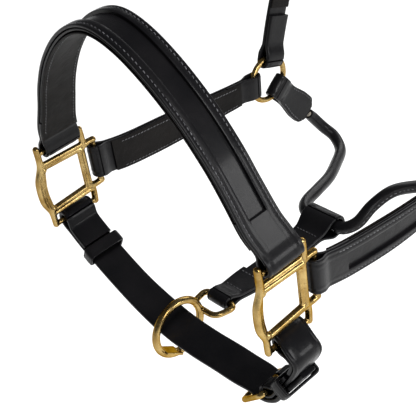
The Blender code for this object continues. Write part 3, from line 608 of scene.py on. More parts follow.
def padded_strap(name, course, start, end, window):
    """Outer strap with stitched rails and a sunk channel, over its padding and lining."""
    first, last = window
    total = course.path.length

    def depth_at(row):
        inside = row.layer == "main" and first < row.run < last
        return 1.0 if inside else 0.0

    rows = fold_rows(course, PADDED, start, end, marks=(first, last))
    sweep(f"{name}_outer", rows, lambda row: section(
        row.width, PADDED, channel_top(row.width, depth_at(row)), 0.12 * MM), f"{name}_strap")

    padding = layer_rows(course, -(GAP + CORE) / 2, start.reach + 0.8 * MM,
                         total - end.reach - 0.8 * MM)
    sweep(f"{name}_padding", padding, lambda row: section(
        row.width - 0.9 * MM, CORE, plain_top(row.width - 0.9 * MM, CREASE[:1]), 0.0, 1.0 * MM),
        f"{name}_core")

    low = start.hold + start.neck + 3 * MM
    high = total - end.hold - end.neck - 3 * MM
    back = layer_rows(course, -(1.5 * GAP + PADDED + LINING / 2), low, high)

    def lining_section(row):
        skived = 0.3 + 0.7 * ease(min(row.run - low, high - row.run) / (7 * MM))
        return section(row.width - 0.2 * MM, LINING * skived, plain_top(row.width, CREASE[:1]))

    sweep(f"{name}_backing", back, lining_section, f"{name}_lining", BACKINGS)

    thread = Stitches(f"{name}_stitching")
    top = GAP / 2 + PADDED - 0.12 * MM
    thread.along(course, 19 * MM, total - 19 * MM, top, 2.5 * MM)
    under = -(1.5 * GAP + PADDED + LINING) - 0.05 * MM
    thread.along(course, 22 * MM, total - 22 * MM, under, 2.5 * MM)
    thread.done()


NOSE_FOOT = (97.2, -3.3, 38.0)
NOSE_HALF = [(91.0, 51.0), (82.5, 69.0), (72.5, 89.5),
             (57.5, 112.0), (38.5, 132.0), (19.0, 145.5), (0.0, 150.5)]
NOSE_LEAN = 0.165


def nose_point(x, z):
    return head(x, 1 - NOSE_LEAN * z, z)


foot_x, foot_y, foot_z = NOSE_FOOT
nose_points = [square_bar(1, 1, 0), head(foot_x, foot_y, foot_z)]
nose_points += [nose_point(x, z) for x, z in NOSE_HALF]
nose_points += [nose_point(-x, z) for x, z in reversed(NOSE_HALF[:-1])]
nose_points += [head(-foot_x, foot_y, foot_z), square_bar(-1, 1, 0)]
nose_path = curved(nose_points)


def nose_width(at):
    slimming = ease((min(at, nose_path.length - at) - 10 * MM) / (45 * MM))
    return NOSE_FOOT_WIDTH + (NOSE_WIDTH - NOSE_FOOT_WIDTH) * slimming


square_fold = Fold(STRAP_BAR, hold=2.0 * MM, neck=9.0 * MM, reach=32 * MM)
padded_strap("noseband", Course(nose_path, steady(BAR_Y), nose_width, fan(nose_path, X, Z)),
             square_fold, square_fold, (30 * MM, nose_path.length - 30 * MM))


def make_cheek(side_name, side):
    points = [square_bar(side, 0, 1), head(side * 101, 55, -3), head(side * 102, 100, -5.5),
              head(side * 101, 145, -6), ring_chord(side, -Y)]
    path = curved(points)
    total = path.length

    def width(at):
        return CHEEK_WIDTH + (RING_WIDTH - CHEEK_WIDTH) * ease((at / total - 0.35) / 0.6)

    def across(at):
        return BAR_Z.lerp(Z, ease(at / total)).normalized()

    padded_strap(f"{side_name}_cheek", Course(path, across, width, steady(X * side)),
                 square_fold, ring_fold(30 * MM), (27 * MM, total - 32 * MM))


make_cheek("near", 1)
make_cheek("off", -1)


# ---- buckled straps ----

def keeper(name, course, at, low, high, half_width, length, node, body, slack=KEEPER_SLACK):
    """A leather loop around a strap, with rounded and creased edges."""
    side = course.across(at).normalized()
    up = course.normal(at)
    reach = half_width + GAP + KEEPER / 2
    bottom = low - slack - KEEPER / 2
    top = high + slack + KEEPER / 2
    corner = 2.2 * MM

    def row(middle, spoke):
        return Row(middle, course.path.line(at), spoke, length, 0.0, "keeper")

    def corner_row(quarter, k):
        """The k-th of seven rows round one corner."""
        angle = math.pi / 2 * (quarter + k / 6)
        spoke = side * math.cos(angle) + up * math.sin(angle)
        px = (reach - corner) * (1, -1, -1, 1)[quarter % 4]
        py = top - corner if quarter % 4 < 2 else bottom + corner
        return row(course.path.at(at) + side * px + up * py + spoke * corner, spoke)

    rows = []
    for quarter in range(4):
        rows += [corner_row(quarter, k) for k in range(7)]
        here, there = rows[-1], corner_row(quarter + 1, 0).middle
        rows += [row(here.middle.lerp(there, k), here.normal) for k in (0.34, 0.67)]
    creased = plain_top(length, [(1.3, 0.0), (1.6, -0.14), (1.9, 0.0)])
    sweep(name, rows, lambda _: section(length, KEEPER, creased, 0.18 * MM, 0.7 * MM), node,
          body=body, closed=True)


def tube(name, points, radius, closed=False, sides=10, taper=None):
    """A round wire with smooth bends; taper(t) scales its radius along it."""
    curve = bpy.data.curves.new(name, "CURVE")
    curve.dimensions = "3D"
    curve.bevel_depth = radius
    curve.bevel_resolution = sides
    curve.use_fill_caps = not closed
    spline = curve.splines.new("POLY")
    spline.points.add(len(points) - 1)
    last = max(len(points) - 1, 1)
    for k, (slot, point) in enumerate(zip(spline.points, points)):
        slot.co = (*point, 1.0)
        slot.radius = taper(k / last) if taper else 1.0
    spline.use_cyclic_u = closed
    return taken(linked(name, curve), WELD)


def taken(thing, weld=WELD / 100):
    """The evaluated mesh of a helper object, which is then removed."""
    bpy.context.view_layer.update()
    graph = bpy.context.evaluated_depsgraph_get()
    mesh = bpy.data.meshes.new_from_object(thing.evaluated_get(graph))
    mesh.transform(thing.matrix_world)
    bpy.data.objects.remove(thing, do_unlink=True)
    shell = bmesh.new()
    shell.from_mesh(mesh)
    bmesh.ops.remove_doubles(shell, verts=shell.verts, dist=weld)
    return into(mesh, shell)


def gathered(meshes):
    shell = bmesh.new()
    for mesh in meshes:
        shell.from_mesh(mesh)
    return mesh_of(shell, "gathered", False)


def fused(meshes, voxel=0.42 * MM, soften=5):
    """Melt overlapping shapes into one casting with filleted joints."""
    helper = linked("fuse", gathered(meshes))
    remesh = helper.modifiers.new("fuse", "REMESH")
    remesh.mode = "VOXEL"
    remesh.voxel_size = voxel
    smooth = helper.modifiers.new("soften", "SMOOTH")
    smooth.factor = 0.6
    smooth.iterations = soften
    return taken(helper)


def cut(mesh, cutters, solver="EXACT"):
    """The mesh with the cutters' shapes taken out."""
    work = linked("work", mesh)
    tool = linked("tool", gathered(cutters))
    step = work.modifiers.new("cut", "BOOLEAN")
    step.operation = "DIFFERENCE"
    step.solver = solver
    step.object = tool
    result = taken(work)
    bpy.data.objects.remove(tool, do_unlink=True)
    return result


def turned(axis, around=None):
    """The rotation that takes Z to axis and X towards around."""
    around = around or (X if abs(axis.normalized().dot(X)) < 0.9 else Y)
    z_dir = axis.normalized()
    x_dir = (around - z_dir * around.dot(z_dir)).normalized()
    y_dir = z_dir.cross(x_dir)
    return Matrix((x_dir, y_dir, z_dir)).transposed().to_4x4()


def rod(start, end, radius, sides=32):
    axis = end - start
    shell = bmesh.new()
    bmesh.ops.create_cone(shell, cap_ends=True, segments=sides, radius1=radius,
                          radius2=radius, depth=axis.length)
    bmesh.ops.transform(shell, matrix=Matrix.Translation((start + end) / 2) @ turned(axis),
                        verts=shell.verts)
    return mesh_of(shell, "rod", False)


def box(size, place, turn):
    shell = bmesh.new()
    bmesh.ops.create_cube(shell, size=1.0, matrix=Matrix.Diagonal((*size, 1.0)))
    bmesh.ops.transform(shell, verts=shell.verts, matrix=Matrix.Translation(place) @ turn)
    return mesh_of(shell, "box", False)


def lathe(place, axis, profile, steps=40):
    """A turned shape: profile lists (along, radius) in millimetres, ending on the axis."""
    basis = turned(axis).to_3x3()
    u, v = basis @ X, basis @ Y
    shell = bmesh.new()
    rings = []
    for along, radius in profile:
        centre = place + axis * (along * MM)
        if not radius:
            rings.append([shell.verts.new(centre)])
        else:
            rings.append([shell.verts.new(centre + (u * math.cos(2 * math.pi * k / steps)
                                                    + v * math.sin(2 * math.pi * k / steps))
                                          * (radius * MM)) for k in range(steps)])
    for a, b in zip(rings, rings[1:]):
        for k in range(steps):
            m = (k + 1) % steps
            corners = dict.fromkeys((a[k % len(a)], a[m % len(a)], b[m % len(b)], b[k % len(b)]))
            if len(corners) > 2:
                shell.faces.new(list(corners))
    return mesh_of(shell, "lathe")


def slot_cutter(middle, line, side, up, half_length, half_width, depth):
    """A round-ended slot's shape, depth each way along up."""
    shell = bmesh.new()
    rim = []
    for sign in (1, -1):
        for k in range(11):
            turn = math.pi * (k / 10 - 0.5)
            reach = sign * (half_length - half_width + half_width * math.cos(turn))
            rim.append(middle + line * reach + side * (sign * half_width * math.sin(turn)))
    low = [shell.verts.new(p - up * depth) for p in rim]
    high = [shell.verts.new(p + up * depth) for p in rim]
    for k in range(len(rim)):
        m = (k + 1) % len(rim)
        shell.faces.new((low[k], low[m], high[m], high[k]))
    shell.faces.new(list(reversed(low)))
    shell.faces.new(high)
    return mesh_of(shell, "slot")


def casting(name, mesh, node, body=ROOT):
    finished(name, mesh, [BRASS], node, body, 40)


def corner_path(corners, radius, steps=8):
    """The closed outline through the corners, each rounded off."""
    points = []
    count = len(corners)
    for i, corner in enumerate(corners):
        into = corners[i - 1] - corner
        onto = corners[(i + 1) % count] - corner
        reach = min(radius, into.length * 0.45, onto.length * 0.45)
        start = corner + into.normalized() * reach
        end = corner + onto.normalized() * reach
        for k in range(steps + 1):
            t = k / steps
            points.append(start * (1 - t) ** 2 + corner * 2 * t * (1 - t) + end * t * t)
    return points


def buckle(name, heel, forward, up, side, strap_width, far_up, frame_node, tongue_node, body):
    """Cast buckle with a thickened, slightly bowed front bar, and its prong."""
    half = strap_width / 2 + 1.2 * MM + BUCKLE_WIRE
    far = heel + forward * BUCKLE_LENGTH + up * far_up
    corners = [heel - side * half, heel + side * half, far + side * half, far - side * half]
    outline = corner_path(corners, 4.0 * MM, 10)
    frame_wire = tube(f"{name}_frame", outline, BUCKLE_WIRE, closed=True, sides=6)
    inside = side * (half - 1 * MM)
    heel_rod = rod(heel - inside, heel + inside, BUCKLE_WIRE * 0.96)
    front = tube("front", [far + side * (half - 4 * MM) * (k / 6 - 1)
                           + forward * 0.5 * MM * (1 - (k / 6 - 1) ** 2) for k in range(13)],
                 BUCKLE_WIRE * 1.14, sides=6)
    mesh = fused([frame_wire, heel_rod, front], 0.35 * MM, 4)
    casting(f"{name}_frame_cast", mesh, frame_node)

    rise = far_up + BUCKLE_WIRE + GAP + TONGUE_WIRE
    eye = BUCKLE_WIRE + GAP + TONGUE_WIRE
    shape = [(eye * 0.75, eye * 0.66), (5.0 * MM, rise * 0.66), (8.5 * MM, rise * 0.93),
             (13 * MM, rise + 0.4 * MM), (BUCKLE_LENGTH, rise),
             (BUCKLE_LENGTH + 2.6 * MM, rise - 0.4 * MM)]
    line = curved([heel + forward * a + up * b for a, b in shape]).even(0.8 * MM)
    prong = tube("prong", line, TONGUE_WIRE, sides=6,
                 taper=lambda t: 1.0 if t < 0.9 else 1.0 - 0.35 * ((t - 0.9) / 0.1) ** 2)
    eye_ring = tube("eye", [heel + (forward * math.cos(math.tau * k / 24)
                                    + up * math.sin(math.tau * k / 24)) * eye
                            for k in range(24)], TONGUE_WIRE, closed=True, sides=6)
    casting(f"{name}_prong", fused([prong, eye_ring], 0.3 * MM, 3), tongue_node, body)


def buckled_strap(name, course, start, chape_end, heel_run, tip_run, chape_width,
                  keepers, holes, tongue_body):
    path, across, width, out = course.path, course.across, course.width, course.out
    total = path.length
    strap_half = (STRAP + GAP) / 2
    over_heel = BUCKLE_WIRE + 2 * GAP + OUTER + STRAP / 2
    over_chape = OUTER + 1.5 * GAP + STRAP / 2
    far_up = strap_half + STRAP / 2 + GAP + BUCKLE_WIRE

    def lift(at):
        past = at - heel_run
        rise = (over_heel - strap_half) * ease((past + BUCKLE_LENGTH - 3.5 * MM) / (17 * MM))
        settle = (over_heel - over_chape) * ease((past - 3 * MM) / (9 * MM))
        return rise - settle

    def strap_width(at):
        return width(at) * (1 - 0.55 * ease((at - tip_run + 12 * MM) / (12 * MM)))

    def pierce(piece, cutters, solver="EXACT"):
        piece.data = cut(piece.data.copy(), cutters, solver)
        piece.data.set_sharp_from_angle(angle=math.radians(SHARP))

    rows = fold_rows(Course(path, across, strap_width, out), STRAP, start, lift=lift,
                     last=tip_run, spacing=2.0 * MM)
    cutters = []
    for k in holes:
        s = heel_run - 6 * MM + k * BILLET_PITCH
        middle = course.place(s, strap_half + lift(s))
        depth = course.normal(s) * 4 * MM
        cutters.append(rod(middle - depth, middle + depth, BILLET_HOLE, 20))
    line = path.line(heel_run)
    middle = course.place(heel_run, strap_half + lift(heel_run)) - line * 5 * MM
    cutters.append(slot_cutter(middle, line, across(heel_run), course.normal(heel_run), 6 * MM,
                               1.75 * MM, 3.4 * MM))
    pierce(sweep(f"{name}_billet", rows, plain(STRAP, 0.15 * MM), f"{name}_strap"), cutters)

    chape_path = Path([path.at(heel_run + (total - heel_run) * k / 60) for k in range(61)])
    chape_course = Course(chape_path, lambda at: across(at + heel_run),
                          chape_width, lambda at: out(at + heel_run))
    reach = (total - heel_run) * 0.45
    chape_start = Fold(BUCKLE_WIRE, 1.5 * MM, 8 * MM, reach)
    chape_end.reach = reach
    rows = fold_rows(chape_course, OUTER, chape_start, chape_end, spacing=2.0 * MM)
    chape = sweep(f"{name}_turnback", rows, plain(OUTER, 0.1 * MM), f"{name}_chape")
    side = across(heel_run).normalized()
    up = path.line(heel_run).cross(side).normalized()
    up = up if up.dot(out(heel_run)) > 0 else -up
    forward = side.cross(up)
    forward = forward if forward.dot(path.line(heel_run)) < 0 else -forward
    heel = path.at(heel_run)
    notch = slot_cutter(heel - forward * 1.5 * MM, forward, side, up, 9.5 * MM, 2.0 * MM,
                        9 * MM)
    pierce(chape, [notch], "MANIFOLD")

    buckle(name, heel, forward, up, side, width(heel_run), far_up,
           f"{name}_buckle_frame", f"{name}_buckle_tongue", tongue_body)

    for node, past, length, body in keepers:
        keeper(f"{node}_loop", course, heel_run + past, -(OUTER + GAP / 2),
               over_chape + STRAP / 2, width(heel_run + past) / 2 + 0.4 * MM, length, node, body,
               KEEPER_SNUG if body == ROOT else KEEPER_SLACK)
    return lift


CROWN_TOP = POLL[2] + (GAP / 2 + LINING) / MM
SEAT_HALF = 9.0
CROWN_DIRECTION = Vector((0, 0.28, 1.0)).normalized()


def crown_side(side):
    ring = ring_chord(side, CROWN_DIRECTION)
    return curve_points([head(side * SEAT_HALF, POLL[1], CROWN_TOP), head(side * 35, 248, 209),
                         head(side * 60, 245, 185), head(side * 80, 239, 152),
                         head(side * 92, 231, 115), head(side * 98, 221, 75),
                         ring + CROWN_DIRECTION * 30 * MM, ring])


crown_path = Path(list(reversed(crown_side(-1))) + crown_side(1), 40)


def crown_width(at):
    from_ring = min(at, crown_path.length - at)
    return RING_WIDTH + (CROWN_WIDTH - RING_WIDTH) * ease(from_ring / (40 * MM))


def crown_across(at):
    line = crown_path.line(at, 4 * MM)
    return (Y - line * line.dot(Y)).normalized()


CROWN_HEEL = crown_path.nearest(joint_place("crown_tongue_lift"))
crown_course = Course(crown_path, crown_across, crown_width, fan(crown_path, -X, Z))
crown_lift = buckled_strap(
    "crown", crown_course, ring_fold(36 * MM), ring_fold(30 * MM), CROWN_HEEL,
    crown_path.length - 14 * MM, steady(RING_WIDTH - 0.5 * MM),
    (("crown_fixed_keeper", 16 * MM, 8 * MM, ROOT),
     ("crown_runner", 34 * MM, 9 * MM, "crown_runner")), (-3, -2, -1, 1), "crown_tongue")
crown_rows = layer_rows(crown_course, -(GAP + LINING) / 2, 42 * MM, CROWN_HEEL - 36 * MM, 3 * MM)
sweep("crown_backing", crown_rows, lambda row: section(
    row.width - 0.2 * MM, LINING, plain_top(row.width, CREASE[:1])),
    "crown_lining", BACKINGS)

CHIN_POINTS = [(-93.5, 2, -37), (-76, 1.5, -47), (-50, 0.5, -58.5), (-25, -0.5, -67),
               (0, -1, -73), (25, -1, -75), (46, 0, -76), (62, 0.5, -76.8), (75, 1, -76.2),
               (86, 1, -73.2), (94.5, 1.5, -68), (101, 2, -60.5), (106, 2, -52.5),
               (111, 1.5, -44), (113, 1, -36.5), (108.5, 0, -30.5)]
chin_path = curved([square_bar(-1, -1, 0)] + [head(*p) for p in CHIN_POINTS]
                   + [square_bar(1, -1, 0)])

CHIN_HEEL = chin_path.nearest(joint_place("chin_tongue_lift"))
CHIN_TILT = math.radians(14)


def chin_across(at):
    rising = ease((at - chin_path.length * 0.41) / (45 * MM) + 1)
    falling = 1 - ease((at - CHIN_HEEL) / (35 * MM) + 1)
    tilt = SQUARE_TIP + (CHIN_TILT - SQUARE_TIP) * min(rising, falling)
    return Y * math.cos(tilt) + Z * math.sin(tilt)


chin_course = Course(chin_path, chin_across, steady(CHIN_WIDTH), fan(chin_path, -X, -Z))
buckled_strap(
    "chin", chin_course, Fold(STRAP_BAR, reach=26 * MM), Fold(STRAP_BAR), CHIN_HEEL,
    CHIN_HEEL + 32 * MM, steady(CHIN_WIDTH - 0.5 * MM),
    (("chin_fixed_keeper", 17 * MM, 9 * MM, ROOT),), (1,), "chin_tongue")
off_course = Course(chin_path, steady(BAR_Y), steady(CHIN_WIDTH), fan(chin_path, -X, -Z))
keeper("off_chin_keeper_loop", off_course, 33 * MM, -(STRAP + GAP / 2), STRAP + GAP / 2,
       CHIN_WIDTH / 2 + 0.4 * MM, 9 * MM, "off_chin_keeper", "off_chin_keeper")

strap_thread = Stitches("strap_stitching")
on_top = GAP / 2 + STRAP
for course, place, inset in ((crown_course, 15, 2.2), (crown_course, 32, 2.2),
                             (chin_course, 14, 2.4), (chin_course, 23.5, 2.4)):
    strap_thread.across(course, place * MM, on_top + 0.05 * MM, inset * MM)
strap_thread.along(crown_course, 44 * MM, CROWN_HEEL - 40 * MM, on_top - 0.05 * MM, 2.25 * MM,
                   crown_lift)
strap_thread.done()


# ---- squares and rings ----

def ball(place, radius):
    shell = bmesh.new()
    bmesh.ops.create_uvsphere(shell, u_segments=20, v_segments=12, radius=radius,
                              matrix=Matrix.Translation(place))
    return mesh_of(shell, "ball", False)


def casting_square(name, side):
    """Cast square: D-shaped bowed front bar, three ridged bars, and finger-ended ears."""
    middle = head(side * SQUARE_X, 0, 0)

    def at(back, up, outward=0.0):
        return middle + BAR_Y * (back * MM) + BAR_Z * (up * MM) + X * (side * outward * MM)

    half = SQUARE_HALF / MM
    end = LOOP_END_OUT / MM
    back = LOOP_BACK_OUT / MM
    ear = EAR_HALF / MM
    front = FRONT_EAR / MM
    shapes = []

    def bar(points, radius, taper=None, smooth=False):
        fine = curved(points).even(0.9 * MM) if smooth else points
        shapes.append(tube("bar", fine, radius * MM, sides=6, taper=taper))
        for tip in (points[0], points[-1]):
            shapes.append(ball(tip, radius * MM * (taper(0.0) if taper else 1.0)))

    def bow(outset, outward, radius):
        bend = [(-front - outset * 0.4, half + 2.2), (-front - outset - 2.4, 9.5),
                (-front - outset - 3.2, 3.5)]
        line = [at(-front - 0.2, end + 3.6, outward), at(-front + 0.1, 23.5, outward)]
        line += [at(b, u, outward) for b, u in bend]
        line += [at(b, -u, outward) for b, u in reversed(bend)]
        line += [at(-front + 0.1, -23.5, outward), at(-front + 0.3, -end - 0.3, outward)]
        bar(line, radius, smooth=True, taper=lambda t: 0.92 + 0.16 * math.sin(math.pi * t) ** 2)

    bow(1.5, 0.3, 2.35)
    bow(-0.3, -0.2, 2.2)
    bow(-1.9, -0.5, 1.7)
    for sign in (1, -1):
        bar([at(-front - 0.3, sign * (half + 1.9), 0.3), at(half, sign * half, 0.3)], 2.3)
        bar([at(-front, sign * (half + 4.6), -0.5), at(half, sign * (half + 3.2), -0.5)], 1.75)
        bar([at(-front, sign * end), at(ear, sign * end)], 1.95)
        bar([at(half + 0.2, sign * half), at(ear + 0.4, sign * 21), at(ear, sign * (end + 0.7))],
            2.3, smooth=True)
        bar([at(half, sign * half), at(20, sign * (ear + 0.3)), at(back + 0.7, sign * ear)],
            2.3, smooth=True)
        shapes.append(ball(at(-front + 0.6, sign * (half + 0.6)), 2.9 * MM))
        shapes.append(ball(at(half - 1.6, sign * (half - 0.9)), 2.4 * MM))
    bar([at(half, -half, 0.4), at(half, half, 0.4)], 2.15)
    bar([at(half - 2.6, -half, -0.3), at(half - 2.6, half, -0.3)], 1.8)
    bar([at(back, -ear), at(back, ear)], 1.95)
    casting(f"{name}_cast", fused(shapes, 0.36 * MM, 5), name)


casting_square("near_square", 1)
casting_square("off_square", -1)


def ring_points(centre, radius, steps=96):
    return [centre + (Y * math.cos(math.tau * k / steps) + Z * math.sin(math.tau * k / steps))
            * radius for k in range(steps)]


for side_name, side_sign in (("near", 1), ("off", -1)):
    mesh = tube("ring", ring_points(ring_place(side_sign), RING_RADIUS), RING_WIRE,
                closed=True, sides=8)
    casting(f"{side_name}_ring_cast", mesh, f"{side_name}_throat_ring",
            f"{side_name}_throat_ring")

chin_ring_place = head(-1.5, 1.5, -79.5)
LOOP_BACK = 40.0
LOOP_FRONT = 23.5
loop_place = head(0, LOOP_BACK, -78)
loop_corners = [head(-14.5, LOOP_BACK, -78), head(14.5, LOOP_BACK, -78),
                head(10.9, LOOP_FRONT, -78), head(-10.9, LOOP_FRONT, -78)]
big_ring = tube("ring", ring_points(chin_ring_place, CHIN_RADIUS), CHIN_WIRE, closed=True,
                sides=8)
small_loop = tube("loop", corner_path(loop_corners, 6.0 * MM, 10), 2.2 * MM, closed=True,
                  sides=8)
plate = box((11 * MM, 16 * MM, 1.8 * MM), chin_ring_place + Vector((0, -9.5, -14.6)) * MM,
            Matrix.Rotation(math.radians(-33), 4, "X"))
casting("lead_ring_cast", fused([big_ring, small_loop, plate], 0.38 * MM, 3), "chin_ring",
        "chin_ring")


# ---- jaw strap, tabs and rolled throat ----

jaw_path = curved([loop_place, head(0, 75, -78.5), head(0, 112, -76),
                   head(0, 147, -70)])


def jaw_width(at):
    flare = (T_WIDTH - JAW_WIDTH) * ease((at - jaw_path.length + 22 * MM) / (18 * MM))
    return JAW_LOOP_WIDTH + (JAW_WIDTH - JAW_LOOP_WIDTH) * ease(at / (30 * MM)) + flare


jaw_course = Course(jaw_path, steady(X), jaw_width, steady(-Z))
jaw_rows = fold_rows(jaw_course, OUTER, Fold(2.2 * MM, reach=34 * MM),
                     Fold(ROLL_RADIUS + 0.9 * MM, hold=3 * MM, neck=14 * MM, reach=34 * MM))
sweep("jaw_piece", jaw_rows, plain(OUTER, 0.1 * MM), "jaw_strap")
jaw_thread = Stitches("jaw_stitching")
for face in (1, -1):
    for place in (13 * MM, 30 * MM, jaw_path.length - 31 * MM, jaw_path.length - 18.5 * MM):
        jaw_thread.across(jaw_course, place, face * (GAP / 2 + OUTER + 0.03 * MM), 2.4 * MM,
                          face, HAND_STITCH)
jaw_thread.done()

TAB_LENGTH = 66.0 * MM
TAB_DIRECTION = Vector((0, 0.66, -0.75)).normalized()
TAB_ACROSS = TAB_DIRECTION.cross(X).normalized()


def tab_width(length):
    def width(at):
        swell = RING_WIDTH + 5 * MM * ease((at - length * 0.3) / (length * 0.4))
        return swell * (1 - 0.6 * ease((at - length + 9 * MM) / (9 * MM)))
    return width


def throat_tab(name, path, out, fold):
    course = Course(path, steady(TAB_ACROSS), tab_width(path.length), steady(out))
    fold.reach = path.length - 3 * MM
    rows = fold_rows(course, OUTER, fold, spacing=1.6 * MM)
    creases = [(1.6, 0.0), (2.2, -0.22), (2.8, 0.0)]
    sweep(f"{name}_piece", rows, plain(OUTER, 0.25 * MM, creases), name)
    thread = Stitches(f"{name}_stitching")
    for face, proud in ((1, 0.1 * MM), (-1, 0.02 * MM)):
        thread.along(course, 17 * MM, path.length - 5 * MM, face * (GAP / 2 + OUTER + proud),
                     2.2 * MM, face=face, stitch=HAND_STITCH)
    thread.done()


off_start = ring_chord(-1, TAB_DIRECTION)
off_tab_end = off_start + TAB_DIRECTION * (TAB_LENGTH - 14 * MM) + X * 1.5 * MM
off_tab_path = curved([off_start, off_start + TAB_DIRECTION * 24 * MM, off_tab_end])
throat_tab("off_throat_tab", off_tab_path, -X, ring_fold(0))

hook_place = ring_place(1) + TAB_DIRECTION * RING_RADIUS


def snap_at(along, outward=0.0, sideways=0.0):
    return (hook_place + TAB_DIRECTION * along + X * (SNAP_REACH + outward)
            + TAB_ACROSS * sideways)


BARREL_START = 13.0 * MM
barrel_end = BARREL_START + BARREL_LENGTH
eye_bar = barrel_end + 12.5 * MM
near_start = snap_at(eye_bar)
near_tab_end = near_start + TAB_DIRECTION * 38 * MM - X * 6 * MM
near_tab_path = curved([near_start, near_start + TAB_DIRECTION * 18 * MM - X * 1.5 * MM,
                        near_tab_end])
throat_tab("near_throat_tab", near_tab_path, X, Fold(2.1 * MM))

ROLL_POINTS = [(-94, 256, -74), (-85, 260, -82), (-71, 251, -86), (-57, 229, -83),
               (-43, 204, -78), (-34, 180, -74), (-27, 159, -71.5), (-18, 148, -70.1),
               (-8, 147, -70), (8, 147, -70), (18, 148, -69.9), (25, 156, -66),
               (28, 169, -57), (32, 187, -52), (38, 208, -56), (48, 230, -62),
               (62, 252, -74), (78, 268, -88), (92, 275, -98)]
off_line = off_tab_path.line(off_tab_path.length)
near_line = near_tab_path.line(near_tab_path.length)
roll_points = [off_tab_end + off_line * 0.6 * MM, off_tab_end + off_line * 9 * MM]
roll_points += [head(*p) for p in ROLL_POINTS]
roll_points += [near_tab_end + near_line * 9 * MM, near_tab_end + near_line * 0.6 * MM]
roll_path = curved(roll_points)


def rolled(name, path, radius):
    """Leather rolled round a cord: a tube with a pinched, stitched seam along it."""
    stations = path.even(2.0 * MM)
    steps = 26
    shell = bmesh.new()
    grid = []
    up = -Y
    seams = []
    for k, point in enumerate(stations):
        line = path.line(path.length * k / (len(stations) - 1), 3 * MM)
        up = (up - line * up.dot(line)).normalized()
        side = line.cross(up)
        near_end = min(k, len(stations) - 1 - k)
        size = radius * (0.90 + 0.10 * min(near_end / 4, 1.0))
        ring = []
        for m in range(steps):
            turn = math.tau * m / steps
            aside = min(turn, math.tau - turn)
            seam = math.exp(-(aside / 0.17) ** 2)
            ridge = math.exp(-((aside - 0.42) / 0.16) ** 2)
            r = size * (1 - 0.10 * seam + 0.035 * ridge)
            ring.append(shell.verts.new(point + (up * math.cos(turn) + side * math.sin(turn)) * r))
        grid.append(ring)
        seams.append((point + up * size * 0.93, line, up))
    for a, b in zip(grid, grid[1:]):
        for m in range(steps):
            q = (m + 1) % steps
            shell.faces.new((a[m], a[q], b[q], b[m])).smooth = True
    for ring, point in ((grid[0], stations[0]), (grid[-1], stations[-1])):
        middle = shell.verts.new(point)
        for m in range(steps):
            cap = shell.faces.new((ring[m], ring[(m + 1) % steps], middle))
            cap.material_index = 1
    finished(name, mesh_of(shell, name), LEATHERS, "rolled_throat", sharp=60)
    thread = Stitches(f"{name}_stitching")
    for place, line, outward in seams[3:-3:2]:
        thread.one(place, line, outward, 2.4 * MM, 0.3 * MM)
    thread.done()


rolled("throat_roll", roll_path, ROLL_RADIUS)
cord_shape = NODES["rolled_throat_core"]
cord_shape.data.materials.clear()
cord_shape.data.materials.append(cord_finish.material)


# ---- snap ----

HOOK_SLACK = 1.3 * MM
HOOK_TIP = 1.5 * MM
hook_front = -(RING_WIRE + HOOK_SLACK + SNAP_WIRE)
hook_middle = hook_front + SNAP_REACH
hook_points = [snap_at(BARREL_START + 7 * MM, -BARREL_RADIUS),
               snap_at(BARREL_START + 1 * MM, -BARREL_RADIUS - 6 * MM)]
for k in range(11):
    turn = math.pi * k / 10
    hook_points.append(snap_at(hook_middle - SNAP_REACH * math.sin(turn),
                               -SNAP_REACH - SNAP_REACH * math.cos(turn)))
hook_points.append(snap_at(hook_middle + HOOK_TIP, 0))
hook = tube("hook", curved(hook_points).even(0.9 * MM), SNAP_WIRE, sides=6,
            taper=lambda t: 0.88 + 0.14 * math.sin(math.pi * min(t * 1.3, 1.0)))
barrel = lathe(snap_at(BARREL_START), TAB_DIRECTION, [
    (0.0, 0.0), (0.0, 4.2), (0.5, 4.8), (1.2, 5.0), (3.0, 5.0), (20.6, 5.0), (21.2, 4.6),
    (21.8, 4.6), (22.2, 5.6), (23.0, 6.0), (25.0, 6.0), (25.8, 5.5), (26.2, 4.6), (27.0, 3.9),
    (27.0, 0.0)])
solid = fused([barrel, hook], 0.4 * MM, 3)
chamber_end = barrel_end - 6 * MM
STUD_AT = BARREL_START + 6 * MM
slot_middle = STUD_AT + BOLT_TRAVEL / 2
slot_box = box((8 * MM, 3.6 * MM, BOLT_TRAVEL + 4.5 * MM), snap_at(slot_middle, BARREL_RADIUS),
               turned(TAB_DIRECTION, X))
for hollow in (rod(snap_at(BARREL_START - 8 * MM), snap_at(chamber_end), BOLT_RADIUS + 0.35 * MM),
               rod(snap_at(chamber_end - 2 * MM), snap_at(barrel_end + 3 * MM), 2.1 * MM),
               slot_box):
    solid = cut(solid, [hollow])
casting("snap_hook_and_barrel", solid, "snap_body", "snap")

bolt_tip = hook_middle + HOOK_TIP + GAP
bolt_back = STUD_AT + 3 * MM
bolt_end = (bolt_back - bolt_tip) / MM
bolt_radius = BOLT_RADIUS / MM
bolt = lathe(snap_at(bolt_tip), TAB_DIRECTION, [
    (0.0, 0.0), (0.05, 1.2), (0.35, 1.9), (0.9, 2.25), (1.6, bolt_radius),
    (bolt_end - 0.5, bolt_radius), (bolt_end, bolt_radius - 0.5), (bolt_end, 0.0)])
casting("bolt_pin", bolt, "snap_bolt", "snap_bolt")
stud_foot = (BOLT_RADIUS + GAP) / MM
stud = lathe(snap_at(STUD_AT), X, [(stud_foot, 0.0), (stud_foot, 1.4)] + [
    (BARREL_RADIUS / MM + proud, radius) for proud, radius in (
        (0.8, 1.4), (1.1, 2.3), (1.9, 2.9), (2.7, 3.1), (3.3, 2.8), (3.4, 2.2), (3.0, 1.2),
        (2.85, 0.0))])
casting("thumb_knob", stud, "snap_thumb_stud", "snap_bolt")

